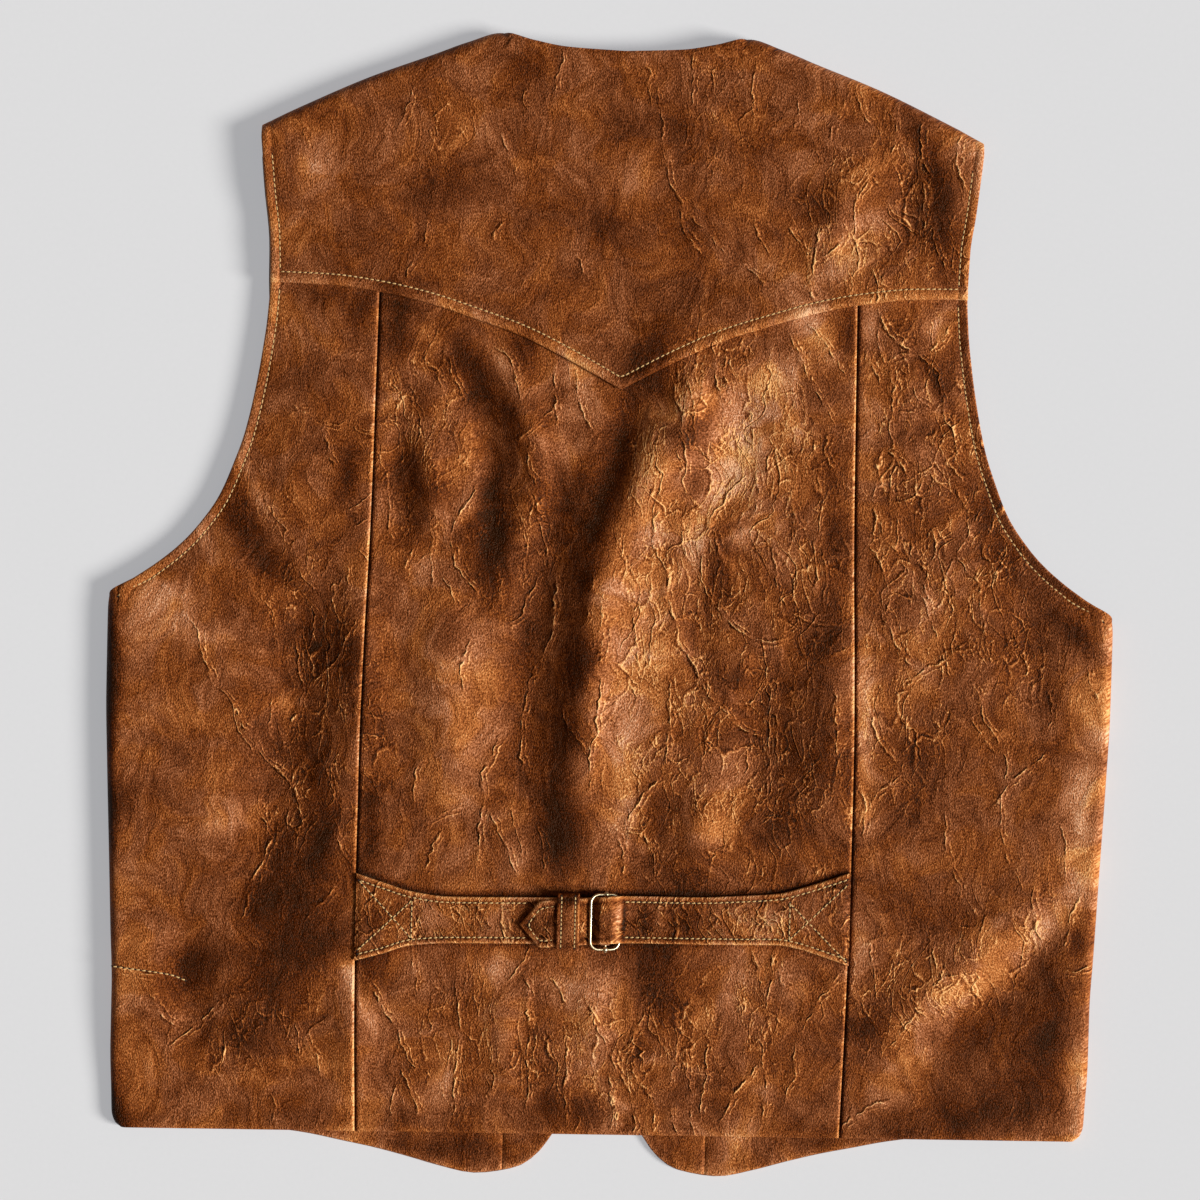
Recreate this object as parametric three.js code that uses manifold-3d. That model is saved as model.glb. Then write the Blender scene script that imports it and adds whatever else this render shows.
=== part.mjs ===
// A man's leather vest, fastened and lying face down and flat, its back uppermost.
// Millimetres. +Z is up, the neck points along +Y and the wearer's left is -X.
// The origin is on the ground, under the middle of the garment.

import * as THREE from 'three';
import { mergeVertices } from 'three/addons/utils/BufferGeometryUtils.js';
import Module from 'manifold-3d';

const wasm = await Module();
wasm.setup();

// Driving dimensions

const LEATHER = 1.8; // wall of a panel
const FACING = 1.2; // skived facings and the lining
const STRAP = 2.2; // wall of the back belt
const STRAP_END = 1.4; // the belt's skived end, where it loops round the bar
const SEAM_GAP = 0.3; // between pieces sewn edge to edge
const LAY_GAP = 0.3; // under what lies on a flat piece
const LOOSE_GAP = 0.5; // under what lies on a curved piece
const YOKE_GAP = 0.8; // under the yoke's lap
const YOKE_LAP = 13; // how far the lower panels run up under the yoke

const REST_HEIGHT = 13; // outer face of the back over the ground
const SHOULDER_RISE = 3;
const HEM_DROP = 4.8;
const ARMHOLE_DROP = 3;
const LEAST_HEIGHT = 7.6; // the back never sinks lower over the fronts' overlap
const FOLD_FADE = 32; // the folds die away this far from a rolled edge

const SIDE_FLAP = 9; // flat run from the side fold to the side seam
const SHOULDER_FLAP = 10; // the same at the forward shoulder seam
const SHOULDER_ROLL = (REST_HEIGHT + SHOULDER_RISE) / 2;
const ARC_STEPS = 5;

const HEM_Y = -320.6;
const HEM_TILT = 0.011; // the hem lies a little higher towards +X
const NECK_POINT_X = 75;
const SHOULDER_TIP = { x: 219.4, y: 286 };
const YOKE_TIP_X = 2.5;

const PLACKET = 12; // each front runs this far past the centre line
const SNAP = { radius: 7.5, height: 1.2, top: 58, pitch: 80, count: 4 };
const OUTER_LIFT = SNAP.height + LAY_GAP; // the outer front rests on its snaps
const INNER_LIFT = OUTER_LIFT + LEATHER + LAY_GAP;

// Outlines, each row a point on the edge. The half outlines serve both sides.

const NECK_AND_SHOULDER = [ // x, y
  [0, 335.7], [35, 337.5], [55, 341], [75, 345.5], [95, 339.6], [115, 331.8],
  [155, 316.5], [195, 298], [SHOULDER_TIP.x, SHOULDER_TIP.y],
];
const ARMHOLE_AND_SIDE = [ // y, half width
  [HEM_Y, 289], [-317, 293], [-311, 294.9], [-300, 295.4], [-270, 296.6], [-240, 296.6],
  [-200, 298.4], [-160, 300.2], [-100, 303], [-60, 304.5], [-10, 304.8], [0, 304],
  [10, 288.7], [20, 274.5], [30, 262.7], [40, 253.3], [60, 239.4], [80, 231],
  [100, 224.3], [130, 218], [150, 214.9], [170, 212.5], [195, 211.2], [220, 212],
  [240, 214.6], [262, 217], [SHOULDER_TIP.y, SHOULDER_TIP.x],
];
const YOKE_EDGE = [ // distance from the yoke's point, y
  [0, 131], [36, 150.4], [61, 162], [91, 172.2], [118, 180.3], [145, 186], [178, 189.9], [220, 191],
];
const PRINCESS_SEAM = [ // y, x
  [-321, 146.8], [-253, 148.4], [-158, 149.8], [-88, 149.6], [-31, 148.5], [48, 146.4],
  [146, 145.2], [205, 144.6],
];
const FRONT_HEM = [ // x, y, from the overlap's lower end to the side seam
  [-12, -262], [0, -281], [12, -300], [25, -318], [35, -332], [45, -340], [55, -343.2],
  [75, -345.5], [95, -341.5], [115, -336], [135, -331], [155, -327], [175, -323], [200, -320],
  [280, -318.5],
];
const FRONT_NECKLINE = [ // x, y, from the overlap's upper end to the shoulder seam
  [-12, 66], [-9, 84], [4, 108], [25, 150], [44, 200], [60, 250], [74, 298], [84, 324.5],
];

// Folds in the back as it lies. A positive rise is a ridge, a negative one a trough.
// Each runs from its start through its middle to its end.

const FOLDS = [ // rise, spread, start x, start y, middle x, middle y, end x, end y
  [5.5, 22, 50, 160, -4, 30, -12, -165],
  [4.5, 14, 54, 146, 36, 102, 6, 45],
  [2.5, 11, 8, 60, -12, -40, -12, -140],
  [-5, 17, -20, 110, -46, -15, -44, -155],
  [4.5, 18, -104, 25, -98, -55, -94, -140],
  [3, 12, 50, 160, 44, 115, 34, 60],
  [-3, 14, 82, 150, 74, 95, 60, 40],
  [-2.5, 12, 60, 35, 54, -7, 52, -55],
  [4, 18, 143, 10, 135, -75, 140, -150],
  [-3.5, 16, 98, -20, 94, -72, 92, -130],
  [3.5, 14, 60, -90, 58, -135, 52, -165],
  [-3, 14, 30, -125, 22, -175, 34, -235],
  [-2.5, 9, -131, 120, -130, 75, -127, 25],
  [3, 9, -113, 115, -111, 73, -104, 30],
  [-4, 11, -98, 160, -74, 80, -76, 5],
  [4, 11, -78, 165, -48, 92, -58, 20],
  [-5, 12, 14, 138, 3, 92, -18, 20],
  [4, 15, -146, 60, -151, -50, -153, -130],
  [-4.5, 20, -186, 30, -194, -85, -216, -195],
  [-2.5, 10, -238, 62, -213, 36, -196, 0],
  [3.5, 14, -289, -195, -288, -228, -285, -268],
  [-3.5, 16, -254, -185, -248, -233, -238, -285],
  [3.5, 18, 282, -140, 225, -205, 152, -265],
  [-4.5, 18, 292, -178, 240, -232, 180, -290],
  [-2.5, 16, 250, 25, 256, -20, 262, -75],
  [-3, 12, 172, 285, 175, 250, 178, 212],
  [2.5, 11, 203, 275, 205, 250, 203, 215],
  [3, 12, 152, 282, 132, 240, 124, 205],
  [3, 12, -150, -225, -150, -265, -146, -315],
  [2.5, 10, -60, -225, -58, -264, -55, -312],
  [2.5, 11, -8, -215, -6, -245, 2, -290],
];

// The belt. It presses the folds flat under it.

const BELT_Y = -191;
const BELT_REACH = 32;
const BELT_PRESS = 0.72;
const BELT_LEFT = [ // x, top y, bottom y
  [-149.5, -165.5, -218.4], [-133.5, -170.5, -213.9], [-116, -175.5, -208.3], [-94, -178, -206.4],
  [-45, -177.2, -205.4], [-30, -177, -205.2], [0, -176.6, -204.8], [10, -176.6, -204.8],
];
const BELT_RIGHT = [ // x, top y, bottom y
  [-50.1, -193.8, -193.8], [-44, -186.4, -200.6], [-37, -179, -207.2], [-20, -177.6, -205.8],
  [10, -175, -203.6], [57, -174.6, -203.2], [82, -173.2, -202.9], [106, -171.2, -202.4],
  [117, -168.4, -204], [133, -163.2, -208.6], [149.5, -157.3, -214],
];
const WIRE = 0.8; // radius of the buckle's wire
const BUCKLE = { left: -7.2, right: 10.4, y: -190.9, half: 16.6, corner: 5, low: WIRE, high: 6.7 };
const BUCKLE_SLOPE = (BUCKLE.low - BUCKLE.high) / (BUCKLE.right - BUCKLE.left);
const BAR_X = 2;
const BAR_RISE = BUCKLE.high + (BAR_X - BUCKLE.left) * BUCKLE_SLOPE;
const LOOP = { inner: WIRE + LAY_GAP, outer: WIRE + LAY_GAP + STRAP_END }; // radii round the bar
const OVER_LOOP = BAR_RISE + LOOP.outer + LAY_GAP;
const EYE = { outer: 1.75, inner: 1.1 };
const KEEPER = { left: -27.6, right: -14.1, y: -191.2, half: 17.3, wall: 1.5 };
const STRAP_RISE_LEFT = [ // x, height of the under strap's lower face over the belt's seat
  [-150, 0], [-48, 0], [-32, 1.8], [-11, 1.8], [-5, 0.7], [BAR_X, BAR_RISE - LOOP.outer],
];
const STRAP_RISE_RIGHT = [ // x, height of the upper strap's lower face over the belt's seat
  [-50.1, 2.7], [-46, 2.7], [-32, 4.4], [-12, 4.4], [-7.2, 3.2], [-5.2, 3.25], [-1, OVER_LOOP],
  [4.9, OVER_LOOP], [8, 4.5], [11, 2.3], [13, 0.8], [15, 0.1], [22, 0], [150, 0],
];

// Small helpers

const clamp01 = (v) => Math.min(1, Math.max(0, v));
const lerp = (a, b, t) => a + (b - a) * t;

function smooth(v, from, to) {
  const t = clamp01((v - from) / (to - from));
  return t * t * (3 - 2 * t);
}

// A smooth curve through a table's rows that never overshoots them.
function through(table, column = 1) {
  const xs = table.map((row) => row[0]);
  const ys = table.map((row) => row[column]);
  const slopes = xs.slice(1).map((x, i) => (ys[i + 1] - ys[i]) / (x - xs[i]));
  const tangents = xs.map((_, i) => {
    if (i === 0) return slopes[0];
    if (i === xs.length - 1) return slopes[i - 1];
    const product = slopes[i - 1] * slopes[i];
    return product > 0 ? (2 * product) / (slopes[i - 1] + slopes[i]) : 0;
  });
  return (x) => {
    let i = 0;
    while (i < xs.length - 2 && x > xs[i + 1]) i += 1;
    const width = xs[i + 1] - xs[i];
    const t = clamp01((x - xs[i]) / width);
    const rise = ys[i + 1] - ys[i];
    const bend = t * (1 - t) * width;
    return ys[i] + rise * t * t * (3 - 2 * t)
      + bend * (tangents[i] * (1 - t) - tangents[i + 1] * t);
  };
}

const spread = (count) => Array.from({ length: count + 1 }, (_, i) => i / count);

function stations(from, to, step) {
  const count = Math.max(1, Math.round(Math.abs(to - from) / step));
  return spread(count).map((t) => lerp(from, to, t));
}

// Outline functions

const topOutline = through(NECK_AND_SHOULDER);
const halfWidth = through(ARMHOLE_AND_SIDE);
const yokeCurve = through(YOKE_EDGE);
const seamX = through(PRINCESS_SEAM);
const frontHem = through(FRONT_HEM);
const yokeEdge = (x) => yokeCurve(Math.abs(x - YOKE_TIP_X));
const panelTop = (x) => yokeEdge(x) + YOKE_LAP;
const hemTilt = (x, y) => HEM_TILT * x * (1 - smooth(y, HEM_Y, HEM_Y + 90));

// Height of the back's outer face

function foldRise(x, y) {
  let sum = 0;
  for (const [rise, width, x0, y0, xm, ym, x2, y2] of FOLDS) {
    const x1 = 2 * xm - (x0 + x2) / 2;
    const y1 = 2 * ym - (y0 + y2) / 2;
    let nearest = Infinity;
    let place = 0;
    const pieces = 8;
    let ax = x0;
    let ay = y0;
    for (let k = 1; k <= pieces; k += 1) {
      const t = k / pieces;
      const bx = (1 - t) * (1 - t) * x0 + 2 * t * (1 - t) * x1 + t * t * x2;
      const by = (1 - t) * (1 - t) * y0 + 2 * t * (1 - t) * y1 + t * t * y2;
      const along = clamp01(((x - ax) * (bx - ax) + (y - ay) * (by - ay))
        / ((bx - ax) ** 2 + (by - ay) ** 2));
      const distance = Math.hypot(x - lerp(ax, bx, along), y - lerp(ay, by, along));
      if (distance < nearest) {
        nearest = distance;
        place = (k - 1 + along) / pieces;
      }
      ax = bx;
      ay = by;
    }
    const taper = smooth(place, 0, 0.35) * (1 - smooth(place, 0.65, 1));
    sum += rise * Math.exp(-((nearest / width) ** 2)) * taper;
  }
  return sum;
}

function backHeight(x, y) {
  const inFromSide = halfWidth(y) - Math.abs(x);
  const armhole = smooth(y, 0, 40) * (1 - smooth(y, 190, 250));
  const base = REST_HEIGHT + SHOULDER_RISE * smooth(y, 200, 265) - HEM_DROP * smooth(-y, 235, 318)
    - ARMHOLE_DROP * armhole * (1 - smooth(inFromSide, 0, 45));
  const fade = smooth(inFromSide, 8, 8 + FOLD_FADE)
    * smooth(topOutline(Math.abs(x)) - y, 10, 10 + FOLD_FADE)
    * lerp(0.4, 1, smooth(y - HEM_Y, 0, FOLD_FADE))
    * (1 - BELT_PRESS * Math.exp(-(((y - BELT_Y) / BELT_REACH) ** 2)) * (1 - smooth(Math.abs(x), 145, 185)));
  const least = Math.min(base, LEAST_HEIGHT);
  return Math.max(least, base + fade * foldRise(x, y));
}

const overPanels = (x, y) => 1 - smooth(y - panelTop(x), 4, 30);

function yokeHeight(x, y) {
  return backHeight(x, y) + (YOKE_GAP + LEATHER) * overPanels(x, y);
}

// A closed wall from a grid of points, each with its outer and its inner place.
// Rows or columns that shrink to a point close up.
function wall(grid) {
  const places = [];
  const known = new Map();
  const index = (p) => {
    const key = p.map((v) => Math.round(v * 2000)).join();
    if (!known.has(key)) {
      known.set(key, places.length / 3);
      places.push(...p);
    }
    return known.get(key);
  };
  const faces = [];
  const face = (a, b, c) => {
    if (a !== b && b !== c && a !== c) faces.push([a, b, c]);
  };
  const quad = (a, b, c, d) => {
    face(a, b, c);
    face(a, c, d);
  };
  const last = { i: grid.length - 1, j: grid[0].length - 1 };
  const at = (i, j, side) => index(grid[i][j][side]);
  for (let i = 0; i < last.i; i += 1) {
    for (let j = 0; j < last.j; j += 1) {
      quad(at(i, j, 'outer'), at(i + 1, j, 'outer'), at(i + 1, j + 1, 'outer'), at(i, j + 1, 'outer'));
      quad(at(i, j, 'inner'), at(i, j + 1, 'inner'), at(i + 1, j + 1, 'inner'), at(i + 1, j, 'inner'));
    }
  }
  const rim = (i0, j0, i1, j1) => {
    quad(at(i0, j0, 'outer'), at(i0, j0, 'inner'), at(i1, j1, 'inner'), at(i1, j1, 'outer'));
  };
  for (let i = 0; i < last.i; i += 1) {
    rim(i, 0, i + 1, 0);
    rim(i + 1, last.j, i, last.j);
  }
  for (let j = 0; j < last.j; j += 1) {
    rim(0, j + 1, 0, j);
    rim(last.i, j, last.i, j + 1);
  }
  let volume = 0;
  const corner = (k) => new THREE.Vector3(...places.slice(3 * k, 3 * k + 3));
  for (const [a, b, c] of faces) volume += corner(a).dot(corner(b).cross(corner(c)));
  const order = volume < 0 ? faces.map(([a, b, c]) => [a, c, b]) : faces;
  const geometry = new THREE.BufferGeometry();
  geometry.setAttribute('position', new THREE.Float32BufferAttribute(places, 3));
  geometry.setIndex(order.flat());
  return geometry;
}

// The way along a rolled edge, from the top of the roll round to the flat flap below it.
// It gives how far out from the roll's centre and how high each face is.
function rolled(length, radius, thickness) {
  const angle = Math.min(length / radius, Math.PI);
  const flat = Math.max(0, length - Math.PI * radius);
  const at = (r) => [r * Math.sin(angle) - flat, radius + r * Math.cos(angle)];
  return { outer: at(radius), inner: at(radius - thickness) };
}

// How far along the roll the grid's lines lie: even steps of arc, then the flap.
function rollLengths(radius, flap, full) {
  const arc = Math.PI * radius;
  const lengths = spread(ARC_STEPS).slice(1).map((t) => t * arc);
  lengths.push(arc + flap);
  return lengths.map((l) => l * full);
}

// Back panels

// Over the neck the yoke ends in a free edge. Over the shoulders it rolls to the front.
function yokePiece() {
  const half = [0, 14, 28, 42, 55, 65, 69, 73, 77, 84, 98, 114, 130, 146, 162, 178, 194, 207,
    SHOULDER_TIP.x];
  const across = [...half.slice(1).reverse().map((x) => -x), ...half];
  const upwards = [0, 0.07, 0.15, 0.26, 0.38, 0.52, 0.68, 0.84, 1];
  return wall(across.map((nominal) => {
    const ax = Math.abs(nominal);
    const full = smooth(ax, NECK_POINT_X - 9, NECK_POINT_X + 9);
    const lengths = rollLengths(SHOULDER_ROLL, SHOULDER_FLAP, full);
    const reach = rolled(Math.min(lengths.at(-1), Math.PI * SHOULDER_ROLL / 2), SHOULDER_ROLL, LEATHER);
    const end = topOutline(ax) - reach.outer[0];
    const share = nominal / SHOULDER_TIP.x;
    const start = yokeEdge(share * halfWidth(190));
    const column = upwards.map((t) => {
      const y = lerp(start, end, t);
      const x = share * halfWidth(Math.min(y, SHOULDER_TIP.y));
      const z = yokeHeight(x, y);
      return { outer: [x, y, z], inner: [x, y, z - LEATHER] };
    });
    const edgeX = column.at(-1).outer[0];
    for (const length of lengths) {
      const { outer, inner } = rolled(length, SHOULDER_ROLL, LEATHER);
      column.push({
        outer: [edgeX, end + outer[0], outer[1]],
        inner: [edgeX, end + inner[0], inner[1]],
      });
    }
    return column;
  }));
}

function centrePiece() {
  const across = spread(18);
  const upwards = spread(26);
  return wall(across.map((s) => upwards.map((t) => {
    const nominal = lerp(-1, 1, s);
    const top = panelTop(nominal * 145);
    const level = lerp(HEM_Y, top, t);
    const x = nominal * (seamX(level) - SEAM_GAP / 2);
    const y = level + hemTilt(x, level);
    const z = backHeight(x, y);
    return { outer: [x, y, z], inner: [x, y, z - LEATHER] };
  })));
}

const SIDE_LEVELS = [HEM_Y, -316, -308, -296, -278, -258, -238, -216, -194, -172, -150, -126, -102,
  -78, -54, -32, -16, -8, 0, 8, 18, 30, 46, 66, 90, 116, 144, 174, 203];

// Below the armhole the panel rolls round to the side seam on the front.
function sidePiece(side) {
  const across = spread(8);
  return wall(SIDE_LEVELS.map((level) => {
    const radius = backHeight(halfWidth(level), level) / 2;
    const full = 1 - smooth(level, -16, 8);
    const lengths = rollLengths(radius, SIDE_FLAP, full);
    const reach = rolled(Math.min(lengths.at(-1), Math.PI * radius / 2), radius, LEATHER);
    const end = halfWidth(level) - reach.outer[0];
    const start = seamX(level) + SEAM_GAP / 2;
    const row = across.map((s) => {
      const x = side * lerp(start, end, s);
      const y = level + hemTilt(x, level);
      const z = backHeight(x, y);
      return { outer: [x, y, z], inner: [x, y, z - LEATHER] };
    });
    const [, endY, endZ] = row.at(-1).outer;
    const settle = endZ - 2 * radius;
    for (const length of lengths) {
      const { outer, inner } = rolled(length, radius, LEATHER);
      const sink = settle * clamp01(1 - length / (Math.PI * radius));
      row.push({
        outer: [side * (end + outer[0]), endY, outer[1] + sink],
        inner: [side * (end + inner[0]), endY, inner[1] + sink],
      });
    }
    return row;
  }));
}

// Fronts, which lie on the ground

// The wearer's left front is the outer one. It rests on its snaps, with the right one over it.
// Below the overlap both lie flat.
function frontLift(x, y, side) {
  const overlap = smooth(y, -320, -286);
  return side < 0
    ? OUTER_LIFT * smooth(x, -40, -14) * overlap
    : INNER_LIFT * (1 - smooth(x, 14, 50)) * overlap;
}

const LINING = { low: 186, high: 268, width: 22 };
// At the wearer's left shoulder the front peeps out past the back.
function frontArmhole(y, side) {
  const inset = side < 0 ? lerp(3, -1.4, smooth(y, 150, LINING.low)) : 3;
  return halfWidth(y) - inset;
}

function curve(points) {
  const path = new THREE.CatmullRomCurve3(points.map(([x, y]) => new THREE.Vector3(x, y, 0)),
    false, 'centripetal');
  path.arcLengthDivisions = 400;
  return (t) => path.getPointAt(clamp01(t));
}

function frontEdges(side) {
  const seamLine = (y) => halfWidth(y) - backHeight(halfWidth(y), y) / 2 - SIDE_FLAP - 2 * SEAM_GAP;
  const sideSeam = [-320, -316, -308, -296, -278, -258, -238, -200, -160, -100, -60, -20]
    .map((y) => [seamLine(y), y + hemTilt(side * seamLine(y), y) + 2]);
  const armhole = [0, 12, 24, 40, 60, 80, 100, 130, 160, 190, 220, 245, 258]
    .map((y) => [Math.min(frontArmhole(y, side), seamLine(-20)), y]);
  const shoulder = (x) => topOutline(x) - SHOULDER_ROLL - SHOULDER_FLAP - 2 * SEAM_GAP;
  const tip = [frontArmhole(266, side), shoulder(SHOULDER_TIP.x) - SEAM_GAP];
  const seam = [84, 100, 120, 140, 160, 180, 200].map((x) => [x, shoulder(x)]);
  const neckline = [...FRONT_NECKLINE.slice(0, -1), seam[0]];
  const placket = [-262, -200, -120, -40, 20].map((y) => [-PLACKET, y]);
  const hem = [...FRONT_HEM.slice(0, -1).map(([x, y]) => [x, y + hemTilt(side * x, y)]), sideSeam[0]];
  return {
    hem: curve(hem),
    shoulder: curve([...seam, tip]),
    inner: curve([...placket, ...neckline]),
    outer: curve([...sideSeam, ...armhole, tip]),
  };
}

function frontPiece(side) {
  const edges = frontEdges(side);
  const across = [0, 0.03, 0.06, 0.09, 0.125, 0.16, 0.2, 0.26, 0.35, 0.45, 0.56, 0.67, 0.78, 0.89, 1];
  const upwards = spread(15);
  const corner = {
    start: edges.hem(0), end: edges.hem(1), innerTop: edges.inner(1), outerTop: edges.outer(1),
  };
  return wall(across.map((u) => upwards.map((v) => {
    const inner = edges.inner(v);
    const outer = edges.outer(v);
    const hem = edges.hem(u);
    const top = edges.shoulder(u);
    const place = (axis) => lerp(inner[axis], outer[axis], u) + lerp(hem[axis], top[axis], v)
      - lerp(lerp(corner.start[axis], corner.end[axis], u),
        lerp(corner.innerTop[axis], corner.outerTop[axis], u), v);
    const x = side * place('x');
    const y = place('y');
    const z = frontLift(x, y, side);
    return { outer: [x, y, z], inner: [x, y, z + LEATHER] };
  })));
}

// The facings show where the fronts' points reach below the back's hem.
const FACING_SEAM = { left: 57, right: 66 };
const FACING_TOP = -286;

function facingPiece(side, from, to, step) {
  const inset = 0.4;
  return wall(stations(from, to, step).map((ax) => spread(3).map((t) => {
    const x = side * ax;
    const low = frontHem(ax) + hemTilt(x, HEM_Y) + inset;
    const y = lerp(low, Math.max(FACING_TOP, low + 2), t);
    const z = frontLift(x, y, side) + LEATHER + LOOSE_GAP;
    return { outer: [x, y, z + FACING], inner: [x, y, z] };
  })));
}

function liningPiece() {
  return wall(stations(LINING.low, LINING.high, 16).map((y) => spread(2).map((t) => {
    const x = -lerp(frontArmhole(y, -1) - 0.4, frontArmhole(y, -1) - LINING.width, t);
    const z = LEATHER + LAY_GAP;
    return { outer: [x, y, z + FACING], inner: [x, y, z] };
  })));
}

// Belt, buckle and keeper

// The height that the belt lies at: the highest the back reaches under it.
function beltSeat(x) {
  const reach = [-22, -14, -7, 0, 7, 14, 22];
  return Math.max(...reach.map((dy) => backHeight(x, BELT_Y + dy))) + LOOSE_GAP;
}
const seatAtBuckle = Math.max(...stations(-32, 24, 4).map(beltSeat));
const beltHeight = (x) => lerp(beltSeat(x), seatAtBuckle, smooth(x, -90, -45) * (1 - smooth(x, 26, 70)));

function acrossStrap(top, bottom, outer, inner) {
  return spread(3).map((t) => {
    const y = lerp(bottom, top, t);
    return { outer: [outer[0], y, outer[1]], inner: [inner[0], y, inner[1]] };
  });
}

// The under strap runs from the left seam to the buckle, where its skived end
// goes round the bar and back over it.
function beltLeftPiece() {
  const top = through(BELT_LEFT, 1);
  const bottom = through(BELT_LEFT, 2);
  const rise = through(STRAP_RISE_LEFT);
  const along = [...stations(-149.5, -46, 11.5), -40, -36, -32, -22, -11, -8, -5, -1.5, BAR_X];
  const rows = along.map((x) => {
    const low = beltHeight(x) + rise(x);
    const thickness = lerp(STRAP, STRAP_END, smooth(x, -12, -3));
    return acrossStrap(top(x), bottom(x), [x, low], [x, low + thickness]);
  });
  const centre = { x: BAR_X, z: seatAtBuckle + BAR_RISE };
  for (const t of spread(6).slice(1)) {
    const angle = -Math.PI / 2 + t * Math.PI;
    const at = (r) => [centre.x + r * Math.cos(angle), centre.z + r * Math.sin(angle)];
    rows.push(acrossStrap(top(BAR_X), bottom(BAR_X), at(LOOP.outer), at(LOOP.inner)));
  }
  rows.push(acrossStrap(top(BAR_X), bottom(BAR_X), [BAR_X - 2.6, centre.z + LOOP.outer - 0.2],
    [BAR_X - 2.6, centre.z + LOOP.inner + 0.1]));
  return wall(rows);
}

// The upper strap runs from the right seam over the buckle's bar, under its left
// side and through the keeper to its point.
function beltRightPiece() {
  const top = through(BELT_RIGHT, 1);
  const bottom = through(BELT_RIGHT, 2);
  const rise = through(STRAP_RISE_RIGHT);
  const along = [-50.1, -44, -37, -32, -25, -18, -12, -9.5, -7.2, -5.2, -4, -2.6, -1, 2, 4.9, 7, 9, 11,
    13, 15, 19, ...stations(26, 149.5, 11)];
  return wall(along.map((x) => {
    const low = beltHeight(x) + rise(x);
    return acrossStrap(top(x), bottom(x), [x, low + STRAP], [x, low]);
  }));
}

function roundedRectangle(width, height, corner) {
  const shape = new THREE.Shape();
  const [w, h] = [width / 2, height / 2];
  shape.moveTo(-w + corner, -h);
  shape.lineTo(w - corner, -h);
  shape.absarc(w - corner, -h + corner, corner, -Math.PI / 2, 0);
  shape.lineTo(w, h - corner);
  shape.absarc(w - corner, h - corner, corner, 0, Math.PI / 2);
  shape.lineTo(-w + corner, h);
  shape.absarc(-w + corner, h - corner, corner, Math.PI / 2, Math.PI);
  shape.lineTo(-w, -h + corner);
  shape.absarc(-w + corner, -h + corner, corner, Math.PI, 1.5 * Math.PI);
  return shape;
}

// A loop of leather round both straps.
function keeperPiece() {
  const low = seatAtBuckle;
  const high = seatAtBuckle + 4.4 + STRAP + LAY_GAP + KEEPER.wall;
  const shape = roundedRectangle(2 * KEEPER.half, high - low, 2);
  const hole = roundedRectangle(2 * (KEEPER.half - KEEPER.wall), high - low - 2 * KEEPER.wall, 0.8);
  shape.holes.push(new THREE.Path(hole.getPoints(3).reverse()));
  const geometry = new THREE.ExtrudeGeometry(shape,
    { depth: KEEPER.right - KEEPER.left, bevelEnabled: false, curveSegments: 3 });
  geometry.rotateX(Math.PI / 2).rotateZ(Math.PI / 2);
  geometry.translate(KEEPER.left, KEEPER.y, (low + high) / 2);
  return geometry;
}

const buckleHeight = (x) => seatAtBuckle + BUCKLE.high + (x - BUCKLE.left) * BUCKLE_SLOPE;

// A wire frame, tilted because the upper strap passes under its left side only.
function buckleFramePiece() {
  const width = BUCKLE.right - BUCKLE.left;
  const middle = (BUCKLE.right + BUCKLE.left) / 2;
  const outline = roundedRectangle(width, 2 * BUCKLE.half, BUCKLE.corner);
  const points = outline.getSpacedPoints(38).slice(0, -1)
    .map((p) => new THREE.Vector3(middle + p.x, BUCKLE.y + p.y, buckleHeight(middle + p.x)));
  const path = new THREE.CatmullRomCurve3(points, true, 'centripetal');
  return new THREE.TubeGeometry(path, 38, WIRE, 6, true);
}

function solid(geometry) {
  const bare = geometry.clone();
  bare.deleteAttribute('normal');
  bare.deleteAttribute('uv');
  const merged = mergeVertices(bare, 1e-4);
  return new wasm.Manifold(new wasm.Mesh({
    numProp: 3,
    vertProperties: new Float32Array(merged.attributes.position.array),
    triVerts: new Uint32Array(merged.index.array),
  }));
}

function fromSolid(manifold) {
  const mesh = manifold.getMesh();
  const geometry = new THREE.BufferGeometry();
  geometry.setAttribute('position', new THREE.Float32BufferAttribute(mesh.vertProperties, 3));
  geometry.setIndex(Array.from(mesh.triVerts));
  return geometry;
}

// The bar slides along the frame's two long rails on an eye at each end.
function buckleBarPiece() {
  const z = seatAtBuckle + BAR_RISE;
  const tilt = Math.atan(BUCKLE_SLOPE);
  const rod = new THREE.CylinderGeometry(WIRE, WIRE, 2 * BUCKLE.half - 1.5, 10);
  let bar = solid(rod.translate(BAR_X, BUCKLE.y, z));
  for (const end of [-1, 1]) {
    const y = BUCKLE.y + end * BUCKLE.half;
    bar = bar.add(solid(new THREE.SphereGeometry(EYE.outer, 10, 6).translate(BAR_X, y, z)));
    const hole = new THREE.CylinderGeometry(EYE.inner, EYE.inner, 8, 9);
    hole.rotateZ(Math.PI / 2).rotateY(-tilt).translate(BAR_X, y, z);
    bar = bar.subtract(solid(hole));
  }
  return fromSolid(bar);
}

// A domed cap, its dome on the ground.
function snapPiece(y) {
  const { radius, height } = SNAP;
  const profile = [[0, 0], [radius * 0.6, height * 0.12], [radius * 0.92, height * 0.5],
    [radius, height * 0.8], [radius * 0.96, height], [0, height]]
    .map(([r, z]) => new THREE.Vector2(r, z));
  const geometry = new THREE.LatheGeometry(profile, 14);
  geometry.rotateX(Math.PI / 2).translate(0, y, 0);
  return geometry;
}

// Materials

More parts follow.
